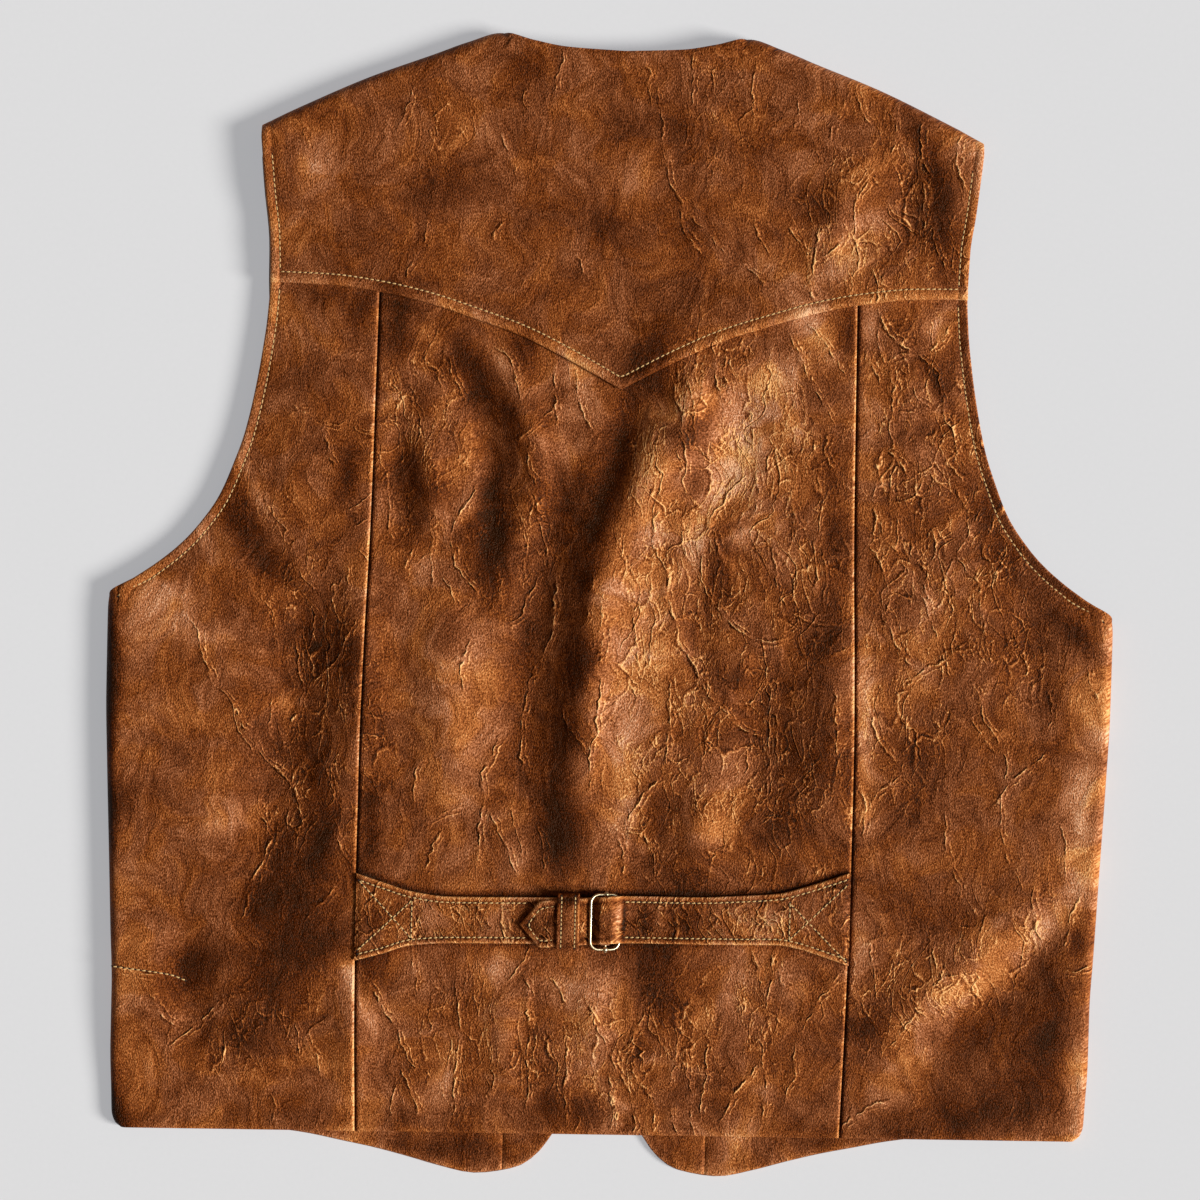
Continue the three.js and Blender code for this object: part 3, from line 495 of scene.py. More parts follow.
    (1.0, 1.4, -161, 22, -160, 12, -164, 0), (0.8, 1.4, -190, 20, -186, 12, -180, 4),
    (0.9, 1.5, 20, 320, 23, 298, 26, 272), (1.2, 1.6, 26, 276, 30, 256, 38, 242),
    (1.2, 1.6, 36, 246, 40, 228, 50, 212), (0.9, 1.5, 40, 240, 52, 228, 66, 214),
    (1.1, 1.4, 41, 338, 42, 318, 41, 300), (1.0, 1.4, 79, 332, 78, 314, 78, 294),
    (1.0, 1.4, 140, 318, 144, 304, 152, 294), (0.9, 1.4, 136, 312, 128, 298, 124, 282),
    (1.1, 1.4, 160, 304, 165, 290, 160, 272), (1.1, 1.4, 142, 262, 142, 244, 140, 226),
    (1.1, 1.4, 140, 228, 145, 214, 142, 202), (1.0, 1.4, 152, 262, 144, 250, 142, 240),
    (1.1, 1.4, 100, 236, 108, 222, 116, 212), (1.4, 1.6, 120, 236, 118, 216, 115, 200),
    (1.3, 1.5, 115, 202, 116, 194, 120, 188), (1.0, 1.4, 134, 224, 126, 216, 117, 211),
    (0.9, 1.4, 80, 240, 84, 226, 92, 214), (1.0, 1.4, 74, 210, 81, 202, 90, 196),
    (1.5, 1.8, 182, 300, 181, 280, 188, 262), (1.2, 1.6, 180, 275, 183, 250, 183, 225),
    (1.2, 1.6, 205, 290, 203, 274, 207, 256), (1.1, 1.5, 190, 236, 192, 220, 198, 208),
    (0.8, 1.4, 162, 252, 170, 244, 186, 240), (1.2, 1.4, 153, 210, 157, 198, 156, 186),
    (1.0, 1.4, 162, 206, 161, 196, 163, 188), (0.8, 1.4, 104, 314, 104, 302, 103, 290),
    (1.0, 1.4, -37, 338, -40, 322, -43, 308), (1.0, 1.4, -128, 310, -130, 296, -138, 282),
    (0.8, 1.4, -108, 304, -112, 296, -118, 290), (0.9, 1.5, -76, 286, -68, 272, -63, 258),
    (0.8, 1.4, -195, 294, -192, 284, -193, 272), (0.8, 1.4, -70, 232, -74, 226, -77, 219),
    (0.8, 1.4, -118, 232, -116, 224, -118, 214), (0.8, 1.4, -31, 216, -22, 206, -18, 196),
    (0.9, 1.4, -125, 206, -128, 200, -127, 194), (0.7, 1.3, 12, 335, 16, 316, 16, 300),
    (0.7, 1.4, -58, 312, -60, 302, -52, 292), (1.3, 1.5, -44, -206, -48, -218, -57, -230),
    (1.4, 1.6, -48, -222, -43, -240, -44, -262), (1.4, 1.6, -44, -258, -42, -280, -43, -312),
    (1.0, 1.4, -38, -250, -38, -272, -37, -296), (0.9, 1.4, -115, -208, -113, -222, -111, -238),
    (1.3, 1.7, -147, -224, -134, -242, -122, -260), (1.3, 1.6, -122, -258, -117, -274, -110, -284),
    (1.1, 1.5, -122, -280, -114, -296, -108, -314), (1.0, 1.4, -88, -225, -86, -244, -84, -262),
    (1.3, 1.6, -84, -262, -87, -286, -86, -318), (0.9, 1.5, -120, -290, -125, -304, -122, -318),
    (1.0, 1.4, -32, -224, -25, -234, -20, -242), (1.1, 1.5, -19, -258, -19, -286, -18, -318),
    (1.1, 1.5, -8, -238, -2, -254, 6, -268), (1.0, 1.5, 5, -266, 12, -282, 22, -296),
    (1.3, 1.6, 4, -282, 9, -298, 7, -319), (1.1, 1.5, 10, -290, 12, -304, 11, -318),
    (1.1, 1.4, 26, -244, 22, -260, 10, -272), (0.9, 1.4, 20, -272, 24, -288, 40, -300),
    (1.0, 1.4, 10, -206, 9, -216, 7, -224), (1.0, 1.4, 44, -250, 48, -268, 42, -292),
    (0.9, 1.4, 52, -262, 54, -282, 58, -300), (1.3, 1.6, 67, -256, 65, -282, 62, -314),
    (1.4, 1.7, 98, -272, 84, -292, 72, -314), (1.2, 1.5, 104, -204, 103, -226, 100, -246),
    (1.0, 1.4, 90, -205, 96, -222, 102, -240), (1.0, 1.4, 100, -246, 99, -262, 101, -280),
    (0.9, 1.4, 101, -280, 101, -296, 100, -310), (0.9, 1.4, 107, -206, 108, -220, 115, -230),
    (1.2, 1.5, 120, -258, 118, -280, 112, -300), (1.2, 1.8, 146, -217, 134, -234, 120, -258),
    (1.2, 2.2, 22, -306, 22, -313, 20, -320), (1.2, 2.2, 35, -305, 33, -313, 31, -320),
    (1.2, 2.2, 46, -300, 46, -312, 48, -320), (0.9, 2.0, 57, -304, 57, -313, 60, -320),
    (0.8, 2.0, -12, -306, -11, -314, -14, -320), (0.9, 1.4, -65, -280, -64, -290, -67, -300),
]
SOFT = 1.4  # how much wider a crease's form is than its crest
CREASE_HEIGHT = 0.55  # share of the rise that the mesh carries
CREASE_REACH = 6.0  # how far from a crease its distance is still measured

# Where the leather is crumpled most: x, y, half length, half width, turn, amount

CRUMPLED = [
    (60, 90, 70, 45, 90, 0.6), (85, 20, 80, 45, 90, 0.5), (40, -60, 90, 40, 90, 0.5),
    (110, -120, 50, 35, 90, 0.45), (195, 90, 70, 35, 100, 0.65), (230, 0, 50, 35, -60, 0.5),
    (180, -60, 60, 30, 90, 0.4), (-120, 100, 55, 25, 90, 0.45), (-60, 30, 45, 25, 80, 0.3),
    (-175, -20, 90, 22, 115, 0.45), (-180, -110, 50, 25, 75, 0.4), (150, 245, 40, 35, 60, 0.6),
    (190, 215, 30, 20, 90, 0.4), (-10, -270, 60, 30, 0, 0.4), (70, -250, 40, 30, 0, 0.4),
    (180, -230, 45, 35, 40, 0.35), (240, -200, 40, 25, 45, 0.4), (-90, -270, 40, 25, 70, 0.3),
    (-210, -260, 50, 25, 30, 0.35), (60, 300, 40, 25, 90, 0.25), (-110, 290, 30, 20, 60, 0.25),
]
BASE_CRUMPLE = 0.16
RIDGED_NOISE = [  # size of the lumps, height, how wide a ridge is, seed
    (24, 1.2, 0.15, 10), (13, 0.7, 0.2, 20),
]

# Tone of the leather, with painted shade on the slopes and the folded side that face away from the
# light and painted light on those that face it, darker below zero: x, y, half length, half width,
# turn, amount

TONE_AND_SHADE_PATCHES = [
    (20, 150, 20, 13, 80, -0.75), (6, 108, 28, 8, 80, -0.5), (-6, 62, 30, 9, 75, -0.6),
    (-17, 18, 35, 9, 82, -0.75), (-20, -38, 24, 9, 88, -0.65), (-27, -85, 32, 9, 85, -0.65),
    (-30, -135, 28, 11, 90, -0.8), (42, 102, 12, 9, 60, -0.45), (-88, 145, 22, 9, -50, -0.6),
    (-62, 110, 20, 7, -55, -0.5), (-67, 74, 22, 7, 70, -0.5), (-69, 28, 26, 9, 85, -0.6),
    (-46, 75, 25, 5, 95, -0.35), (-134, 168, 20, 10, 85, -0.85), (-158, 175, 14, 7, 90, -0.4),
    (-122, 75, 16, 12, 90, -0.4), (-158, -35, 40, 16, 95, -0.6), (-172, -110, 35, 11, 90, -0.45),
    (-190, -175, 34, 20, 95, -0.6), (-195, -225, 28, 18, 80, -0.6), (-215, -262, 25, 14, 30, -0.35),
    (-225, 45, 30, 10, -60, -0.6), (-300, -315, 26, 13, -50, -1.1), (-303, -40, 45, 8, 90, -0.9),
    (-303, -135, 25, 8, 90, -0.6), (-105, 252, 18, 12, 20, -0.4), (-150, 215, 22, 16, 10, -0.3),
    (-15, 228, 26, 16, -20, -0.6), (45, 222, 14, 12, 90, -0.4), (35, 290, 14, 22, 0, -0.25),
    (0, 290, 12, 12, 0, -0.3), (-60, 325, 14, 10, 0, -0.35), (186, 275, 24, 7, -65, -0.55),
    (194, 240, 24, 9, 90, -0.65), (120, 245, 12, 20, 60, -0.35), (232, 45, 35, 10, -58, -0.5),
    (285, -13, 25, 9, -45, -0.65), (52, -165, 28, 16, 75, -0.5), (32, -212, 26, 14, 95, -0.65),
    (42, -245, 12, 20, 45, -0.4), (125, -85, 30, 18, 90, -0.35), (120, -30, 25, 14, 90, -0.3),
    (70, -40, 14, 12, 0, -0.3), (35, -125, 18, 10, 60, -0.3), (272, -255, 38, 18, 75, -0.6),
    (225, -302, 45, 12, 8, -0.5), (180, -315, 20, 8, 0, -0.3), (155, -258, 18, 8, 50, -0.35),
    (-95, -330, 30, 9, 0, -0.6), (-118, -300, 12, 10, 90, -0.35), (-45, -265, 20, 10, 60, -0.4),
    (-45, -200, 20, 14, 80, -0.35), (-140, -85, 35, 8, 90, -0.3), (-140, -220, 20, 10, 80, -0.3),
    (190, -100, 30, 14, 80, -0.25), (190, -185, 30, 16, 0, -0.25),
    (78, 105, 26, 14, 75, 0.95), (60, 62, 22, 9, 60, 0.6), (95, 142, 26, 13, 30, 0.55),
    (118, 172, 24, 9, -55, 0.45), (25, 25, 45, 13, 90, 0.4), (50, 30, 28, 8, 85, 0.45),
    (12, -65, 55, 14, 88, 0.45), (10, -125, 22, 10, 75, 0.45), (70, -125, 25, 10, 65, 0.35),
    (-28, 130, 18, 9, -40, 0.4), (-125, 150, 28, 7, -60, 0.3), (-92, 92, 20, 7, 80, 0.3),
    (-215, 60, 24, 9, -62, 0.45), (-272, -5, 22, 18, 60, 0.6), (-240, -25, 16, 10, -40, 0.3),
    (-192, -65, 11, 9, 0, 0.6), (-225, -135, 25, 20, 30, 0.35), (-205, 180, 16, 10, -40, 0.3),
    (156, -85, 75, 7, 92, 0.45), (190, -25, 40, 12, 80, 0.35), (145, 222, 26, 14, 70, 0.4),
    (152, 186, 12, 10, -40, 0.35), (110, 205, 30, 10, 0, 0.3), (135, 325, 30, 8, -20, 0.35),
    (90, 333, 20, 6, 10, 0.3), (205, 285, 14, 10, -30, 0.35), (287, -130, 55, 9, 88, 0.5),
    (262, -195, 32, 11, 50, 0.55), (225, -225, 30, 12, 35, 0.35), (188, -270, 35, 14, 60, 0.35),
    (85, -215, 26, 18, 80, 0.3), (-148, -235, 28, 6, -62, 0.55), (-85, -195, 26, 14, 80, 0.35),
    (-95, -290, 20, 9, 70, 0.45), (-60, -220, 16, 10, 60, 0.4), (0, -285, 30, 22, 0, 0.3),
    (85, -325, 20, 10, 70, 0.4), (-245, -240, 18, 10, 60, 0.3), (-145, -320, 15, 10, 30, 0.3),
    (-60, 150, 14, 8, -60, -0.5), (-142, -140, 30, 8, 90, -0.5), (133, 60, 32, 7, 95, -0.45),
    (135, -5, 25, 8, 85, -0.35), (108, -135, 30, 14, 90, -0.35), (140, 170, 16, 8, 90, -0.5),
    (168, 172, 18, 6, -45, -0.2), (192, 168, 14, 10, 60, 0.3), (288, -190, 18, 8, 90, -0.5),
    (22, -268, 14, 9, 60, -0.4),
    (-118, -308, 14, 8, 90, -0.3), (-245, -222, 24, 12, 30, -0.45), (195, 140, 20, 5, -60, -0.5),
    (152, 110, 50, 9, 90, 0.35), (78, 70, 36, 22, 80, 0.5), (110, 112, 18, 11, -60, 0.5),
    (14, 118, 10, 7, 60, 0.35), (-118, 12, 38, 10, 70, 0.3), (-98, 128, 20, 8, 70, 0.35),
    (-36, 118, 16, 8, -50, 0.3), (280, -48, 18, 8, -50, 0.35), (290, -285, 36, 7, 92, 0.6),
    (62, -252, 18, 14, 0, 0.4), (-152, -215, 38, 5, 90, 0.35), (-185, 262, 25, 14, 80, 0.3),
    (8, 255, 16, 14, 0, 0.35), (-200, 215, 14, 12, 0, 0.2), (133, -80, 45, 9, 90, -0.35),
    (155, -205, 30, 7, 90, 0.3), (150, -255, 22, 12, 30, -0.35), (240, -285, 20, 10, 60, -0.3),
    (-30, -300, 24, 10, 90, -0.4), (-48, -255, 16, 7, 80, 0.3), (64, 30, 24, 8, 85, -0.45),
    (48, -45, 24, 6, 85, 0.35), (-302, -220, 60, 6, 90, -0.5),
    (-169, -143, 16, 9, 80, -0.7), (-167, -207, 18, 10, 70, -0.5), (-92, 131, 16, 10, -50, -0.5),
    (-76, 45, 20, 11, 85, -0.6), (-23, 70, 26, 14, 80, -0.45), (-43, 114, 14, 8, -50, -0.3),
    (-12, -33, 16, 10, 80, -0.6), (-15, -78, 14, 8, 80, -0.35), (-18, -136, 14, 10, 80, -0.4),
    (45, 108, 14, 10, 60, -0.55), (26, 137, 14, 10, 70, -0.3), (-10, -305, 16, 12, 0, -0.5),
    (-186, -71, 10, 8, 0, -0.35), (-178, -25, 12, 8, 90, -0.35),
    (-114, 67, 10, 8, 0, -0.3), (-148, 188, 14, 8, 30, -0.3), (-51, -19, 12, 8, 80, -0.35),
    (147, -101, 40, 6, 90, -0.35), (-251, -239, 16, 10, 30, -0.4),
    (-300, -310, 14, 9, -50, -0.7), (-303, -90, 60, 6, 90, -0.5), (-235, 80, 40, 5, -62, -0.35),
    (-240, 28, 16, 9, -50, 0.25), (127, 122, 26, 7, -60, 0.05),
    (-22, 142, 12, 8, -50, 0.35), (-71, 147, 12, 8, -55, 0.35), (-131, 121, 20, 6, -60, 0.35),
    (152, 171, 8, 8, 0, 0.35), (192, 175, 8, 8, 0, 0.35), (-75, -47, 35, 18, 90, 0.35),
    (-85, -120, 14, 10, 90, 0.3), (-51, -155, 14, 8, 90, 0.35), (25, -147, 8, 7, 0, 0.35),
    (-9, -233, 30, 20, 0, 0.35), (-107, -326, 12, 6, 0, 0.4),
    (302, -40, 26, 6, 90, 0.35), (302, -170, 110, 5, 90, 0.25), (73, -140, 10, 8, 90, 0.3),
    (108, 267, 14, 9, 0, 0.3), (121, -229, 10, 8, 0, 0.35), (103, 85, 8, 8, 0, 0.25),
    (106, 28, 8, 8, 0, 0.25), (-162, 72, 14, 8, 85, -0.7), (-180, 182, 12, 9, 0, -0.4),
    (-127, 155, 10, 8, 0, -0.4), (-117, 120, 12, 9, 60, -0.35), (-33, 127, 10, 8, 60, -0.6),
    (-52, 160, 8, 8, 0, -0.4), (78, 100, 34, 9, 80, -0.25), (62, 50, 14, 8, 60, -0.3),
    (185, -83, 14, 10, 75, -0.45), (155, -140, 14, 9, 0, -0.35), (110, -120, 14, 9, 0, -0.25),
    (66, -120, 12, 9, 0, -0.25), (268, -50, 12, 12, 0, -0.3), (180, -235, 20, 8, 40, -0.3),
    (-210, -187, 14, 10, 70, -0.55), (-293, -128, 16, 9, 90, -0.6), (-296, -290, 16, 9, 90, -0.35),
    (-154, -195, 40, 6, 90, -0.3), (-98, -20, 14, 9, 60, -0.6), (-133, -10, 9, 7, 0, -0.35),
    (-116, 45, 44, 7, 68, -0.4), (-202, 15, 20, 8, -35, -0.3), (-25, 92, 11, 8, 80, 0.6),
    (-25, 221, 16, 14, 0, 0.5), (-64, 70, 18, 7, 80, 0.4), (-88, 62, 14, 6, 70, 0.35),
    (-143, 45, 16, 5, 85, 0.4), (-113, 160, 12, 8, -40, 0.35), (32, -38, 30, 10, 85, 0.5),
    (66, -22, 12, 12, 0, 0.3), (76, -90, 12, 10, 0, 0.5), (103, -148, 12, 9, 0, 0.35),
    (-118, -302, 12, 10, 0, 0.6), (150, -262, 8, 8, 0, 0.5), (168, -187, 10, 8, 0, 0.3),
    (285, -24, 12, 9, 40, 0.35), (212, 60, 14, 7, -60, 0.3), (-265, -75, 34, 10, 0, 0.3),
    (-200, -130, 12, 10, 0, 0.3), (-250, -210, 16, 8, 0, 0.3), (185, 310, 16, 8, -30, 0.35),
]
BELT_TONE_AND_SHADE_PATCHES = [  # the straps' tone, with painted highlight and shade on the roll over the bar, in the same columns
    (-6, -191, 14, 1.4, 90, -0.9), (3, -191, 13, 3.5, 90, -0.1), (9.5, -191, 13, 2.2, 90, 0.6),
    (13, -191, 14, 1.2, 90, -1.0), (-46, -193, 8, 3, 90, -0.5), (-60, -190, 14, 8, 90, 0.25),
    (-100, -191, 10, 14, 90, 0.3), (-140, -192, 10, 12, 90, -0.3), (24, -190, 10, 6, 80, -0.3),
    (60, -188, 14, 20, 90, 0.15), (100, -188, 10, 12, 80, 0.35), (140, -190, 14, 8, 90, -0.15),
    (-33, -193, 8, 5, 90, -0.25), (48, -193, 12, 12, 80, -0.7), (25, -192, 13, 6, 90, -0.5),
]


def creases(x, y, seed=3):
    """The placed creases: their height, the distance from the nearest crest and how much it shows.

    The distance is above zero on the crest's lit side.
    """
    x = x + 2.2 * noise(x, y, 14, seed) + 0.9 * noise(x, y, 5, seed + 1)
    y = y + 1.6 * noise(x, y, 14, seed + 2)
    height = np.zeros(x.shape)
    across = np.full(x.shape, CREASE_REACH)
    shown = np.zeros(x.shape)
    least = np.full(x.shape, 1.5 * CREASE_REACH)
    for rise, width, *ends in CREASES:
        inside = near_box(x, y, ends, CREASE_REACH)
        if not inside.any():
            continue
        nearest, place, side = near_line(x[inside], y[inside], ends)
        taper = smooth(place, 0, 0.2) * (1 - smooth(place, 0.8, 1))
        height[inside] += rise * taper * bell(nearest, SOFT * width)
        cost = nearest + 4 * (1 - taper)
        closer = cost < least[inside]
        least[inside] = np.where(closer, cost, least[inside])
        across[inside] = np.where(closer, np.copysign(nearest, side), across[inside])
        strength = rise * taper * (1 - smooth(nearest, 2.6, 5))
        shown[inside] = np.where(closer, strength, shown[inside])
    return height, across, shown


def relief(x, y, seed=1):
    """What the creases add to the back's height."""
    crumple = np.clip(BASE_CRUMPLE + patches(CRUMPLED, x, y), 0, 1.2)
    wander_x = x + 9 * noise(x, y, 26, seed + 1) + 3 * noise(x, y, 9, seed + 2)
    wander_y = y + 9 * noise(x, y, 26, seed + 3) + 3 * noise(x, y, 9, seed + 4)
    total = CREASE_HEIGHT * creases(x, y)[0]
    for size, height, width, offset in RIDGED_NOISE:
        field = noise(wander_x, 0.4 * wander_y, size, seed + offset)
        line = np.clip(1 - np.abs(field) / width, 0, 1)
        patchy = smooth(noise(x, y, 2.2 * size, seed + offset + 1), -0.2, 0.5)
        total += height * crumple * patchy * line ** 1.5
    total += 0.5 * crumple * noise(wander_x, 0.7 * wander_y, 17, seed + 30)
    total += 0.25 * crumple * noise(wander_x, wander_y, 7, seed + 31)
    return total


# Edge forms, by the distance from the edge

def rounding(distance, radius):
    """How far a rounded edge drops."""
    inside = np.clip(1 - distance / radius, 0, 1)
    return radius * (1 - np.sqrt(1 - inside ** 2))


def sewn_edge(distance, row):
    """A turned edge: round, full, and drawn down along its row of stitches."""
    puff = 0.45 * bell(distance - 0.45 * row, 0.32 * row)
    groove = 0.5 * bell(distance - row, 0.95)
    return puff - groove - rounding(distance, 1.1)


# Meshes

def make_object(name, points, faces, materials, inner_from=None, values=None, body="root"):
    """A mesh from points in millimetres. Points that coincide are welded."""
    keys = np.round(points * 500).astype(np.int64)
    _, first, back = np.unique(keys, axis=0, return_index=True, return_inverse=True)
    back = back.reshape(-1)
    kept = []
    slots = []
    for number, face in enumerate(faces):
        corners = []
        for corner in back[face]:
            if corner not in corners:
                corners.append(int(corner))
        if len(corners) > 2:
            kept.append(corners)
            slots.append(0 if inner_from is None or number < inner_from else 1)
    mesh = bpy.data.meshes.new(name)
    mesh.from_pydata((points[first] * MM).tolist(), [], kept)
    for material in materials:
        mesh.materials.append(material)
    mesh.polygons.foreach_set("material_index", slots)
    mesh.polygons.foreach_set("use_smooth", [True] * len(kept))
    for key, data in (values or {}).items():
        layer = mesh.attributes.new(key, "FLOAT", "POINT")
        layer.data.foreach_set("value", np.asarray(data, np.float32).reshape(-1)[first])
    mesh.validate()
    mesh.set_sharp_from_angle(angle=math.radians(50))
    thing = bpy.data.objects.new(name, mesh)
    bpy.context.scene.collection.objects.link(thing)
    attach(thing, body)
    return thing


def shell(name, outer, inner, materials, values=None, coarse=4, closed=False):
    """A wall between two grids of points. The inner face takes one in so many of its points."""
    rows, columns = outer.shape[:2]
    middle = (rows // 2, columns // 2)
    a = outer[middle]
    out = np.cross(outer[middle[0] + 1, middle[1]] - a, outer[middle[0], middle[1] + 1] - a)
    if np.dot(out, a - inner[middle]) < 0:
        outer = outer[::-1]
        inner = inner[::-1]
        values = {key: data[::-1] for key, data in (values or {}).items()}
    index = np.arange(rows * columns).reshape(rows, columns)
    few_i = sorted({*range(0, rows, coarse), rows - 1})
    few_j = sorted({*range(0, columns, coarse), columns - 1})
    sparse = inner[np.ix_(few_i, few_j)]
    inner_index = rows * columns + np.arange(sparse[..., 0].size).reshape(sparse.shape[:2])
    faces = np.stack([index[:-1, :-1], index[1:, :-1], index[1:, 1:], index[:-1, 1:]], -1)
    faces = faces.reshape(-1, 4).tolist()
    rims = []
    for k in range(len(few_i) - 1):
        run = index[few_i[k]:few_i[k + 1] + 1]
        rims.append([*run[::-1, 0], inner_index[k, 0], inner_index[k + 1, 0]])
        rims.append([*run[:, -1], inner_index[k + 1, -1], inner_index[k, -1]])
    if not closed:
        for k in range(len(few_j) - 1):
            run = index[:, few_j[k]:few_j[k + 1] + 1]
            rims.append([*run[0], inner_index[0, k + 1], inner_index[0, k]])
            rims.append([*run[-1, ::-1], inner_index[-1, k], inner_index[-1, k + 1]])
    faces += [[int(corner) for corner in rim] for rim in rims]
    lining = np.stack([inner_index[:-1, :-1], inner_index[:-1, 1:],
                       inner_index[1:, 1:], inner_index[1:, :-1]], -1)
    start = len(faces)
    faces += lining.reshape(-1, 4).tolist()
    points = np.concatenate([outer.reshape(-1, 3), sparse.reshape(-1, 3)])
    full = {}
    for key, data in (values or {}).items():
        full[key] = np.concatenate([data.reshape(-1), data[np.ix_(few_i, few_j)].reshape(-1)])
    return make_object(name, points, faces, materials, start, full)


def grid(*parts):
    return np.stack(np.broadcast_arrays(*parts), -1)


# Materials

def srgb(red, green, blue):
    values = np.array([red, green, blue]) / 255
    linear = np.where(values <= 0.04045, values / 12.92, ((values + 0.055) / 1.055) ** 2.4)
    return (*linear.tolist(), 1)


class Shader:
    """Short ways to add and join a material's nodes."""

    def __init__(self, name, dimensions="3D"):
        self.dimensions = dimensions
        self.material = bpy.data.materials.new(name)
        self.material.use_nodes = True
        self.tree = self.material.node_tree
        self.surface = self.tree.nodes["Principled BSDF"]

    def join(self, value, socket):
        if isinstance(value, bpy.types.NodeSocket):
            self.tree.links.new(value, socket)
        else:
            socket.default_value = value

    def add(self, kind, inputs, **settings):
        node = self.tree.nodes.new(kind)
        for key, value in settings.items():
            setattr(node, key, value)
        for key, value in inputs.items():
            self.join(value, node.inputs[key])
        return node

    def place(self):
        """Where the surface is, in millimetres."""
        where = self.add("ShaderNodeTexCoord", {}).outputs["Object"]
        return self.vector("SCALE", where, None, Scale=1000.0)

    def laid_place(self):
        """Where the surface is on the cut, near enough, in millimetres."""
        parts = self.add("ShaderNodeSeparateXYZ", {"Vector": self.place()}).outputs
        return self.add("ShaderNodeCombineXYZ", {
            "X": self.math("MULTIPLY_ADD", parts["Z"], 0.9, parts["X"]),
            "Y": self.math("MULTIPLY_ADD", parts["Z"], 0.5, parts["Y"]),
        }).outputs["Vector"]

    def vector(self, operation, a, b=None, **inputs):
        node = self.add("ShaderNodeVectorMath", inputs, operation=operation)
        self.join(a, node.inputs[0])
        if b is not None:
            self.join(b, node.inputs[1])
        return node.outputs[0]

    def math(self, operation, a, b=0.0, c=0.0, clamp=False):
        node = self.add("ShaderNodeMath", {}, operation=operation, use_clamp=clamp)
        for value, socket in zip((a, b, c), node.inputs):
            self.join(value, socket)
        return node.outputs[0]

    def noise(self, place, size, detail=2.0, roughness=0.5, output="Fac"):
        node = self.add("ShaderNodeTexNoise", {
            "Vector": place, "Scale": 1 / size, "Detail": detail, "Roughness": roughness,
        }, noise_dimensions=self.dimensions)
        return node.outputs[output]

    def warp(self, place, size, amount):
        """Moves each place by up to half the amount."""
        shift = self.vector("SUBTRACT", self.noise(place, size, 0.0, 0.5, "Color"), (0.5, 0.5, 0.5))
        return self.vector("ADD", place, self.vector("SCALE", shift, None, Scale=amount))

    def cells(self, place, size):
        """The distance from the edges between cells of about this size, in cells."""
        node = self.add("ShaderNodeTexVoronoi", {"Vector": place, "Scale": 1 / size},
                        feature="DISTANCE_TO_EDGE", voronoi_dimensions=self.dimensions)
        return node.outputs["Distance"]

    def band(self, value, start, end, low=0.0, high=1.0):
        node = self.add("ShaderNodeMapRange", {
            "Value": value, "From Min": start, "From Max": end, "To Min": low, "To Max": high,
        }, interpolation_type="SMOOTHSTEP")
        return node.outputs["Result"]

    def line(self, distance, half_width):
        """1 where the distance is 0, and 0 beyond the half width."""
        return self.band(self.math("ABSOLUTE", distance), 0.0, half_width, 1.0, 0.0)

    def times(self, a, b):
        return self.math("MULTIPLY", a, b)

    def value(self, name):
        return self.add("ShaderNodeAttribute", {}, attribute_name=name).outputs["Fac"]

    def ramp(self, value, stops):
        node = self.add("ShaderNodeValToRGB", {"Fac": value})
        points = node.color_ramp.elements
        for number, (position, color) in enumerate(stops):
            point = points[number] if number < 2 else points.new(position)
            point.position = position
            point.color = color
        return node.outputs["Color"]

    def mix(self, share, a, b, blend="MIX"):
        node = self.add("ShaderNodeMix", {}, data_type="RGBA", blend_type=blend)
        self.join(share, node.inputs["Factor"])
        self.join(a, node.inputs[6])
        self.join(b, node.inputs[7])
        return node.outputs[2]

    def bump(self, height, strength=1.0):
        """Height in millimetres."""
        node = self.add("ShaderNodeBump", {"Height": height, "Distance": MM, "Strength": strength})
        self.join(node.outputs["Normal"], self.surface.inputs["Normal"])

    def finish(self, **inputs):
        for key, value in inputs.items():
            self.join(value, self.surface.inputs[key.replace("_", " ")])
        return self.material


LEATHER_TONES = [
    (0.0, srgb(44, 16, 0)), (0.25, srgb(82, 35, 6)), (0.5, srgb(135, 73, 32)),
    (0.75, srgb(197, 126, 74)), (1.0, srgb(250, 197, 142)),
]
# Tints: golden for crests and pale or lit edges, partly painted highlight; cool grey for patches of
# painted sheen.
GOLDEN = (1.06, 0.975, 0.78, 1.0)
SHEEN_TINT = (0.98, 0.995, 1.26, 1.0)

# The leather's own texture: size in millimetres, octaves, roughness, share of the tone

MOTTLE = (30.0, 2.0, 0.6, 0.42)
CLOUDS = (6.0, 3.0, 0.65, 0.42)
GRAIN = (0.8, 1.0, 0.7, 0.8)

# Where the creases below come in patches: size of a patch, the noise where it starts and is full

CREASE_PATCHES = {"wide": (24.0, 0.34, 0.54), "dense": (12.0, 0.45, 0.58)}

# The lines along the placed creases: distance from the crest, half width of the line and of the
# furrow beside it, painted as shade on the side away from the light, where its gaps are read, rise
# in millimetres, tone of the line and the furrow

PLACED_LINES = [
    (0.0, 0.7, 0.9, 0.0, 0.7, 0.36, -0.3),
    (-2.7, 0.5, 0.7, 30.0, 0.0, 0.3, -0.22),
]

# Nets of fine creases: size of a cell, half width of a crease, patches, tone of the crest, pale and
# partly painted highlight, and of the furrow, painted shade beside it on the side away from the
# light

CREASE_NETS = [
    (12.0, 0.6, "wide", 0.38, -0.28),
    (6.5, 0.5, "dense", 0.34, -0.22),
    (3.4, 0.4, "dense", 0.22, -0.12),
]

# Fine creases side by side: turn in degrees, pitch, half width in pitches, share of each that
# shows, patches, rise in millimetres, tone of the crest and of the furrow, painted shade away from
# the light

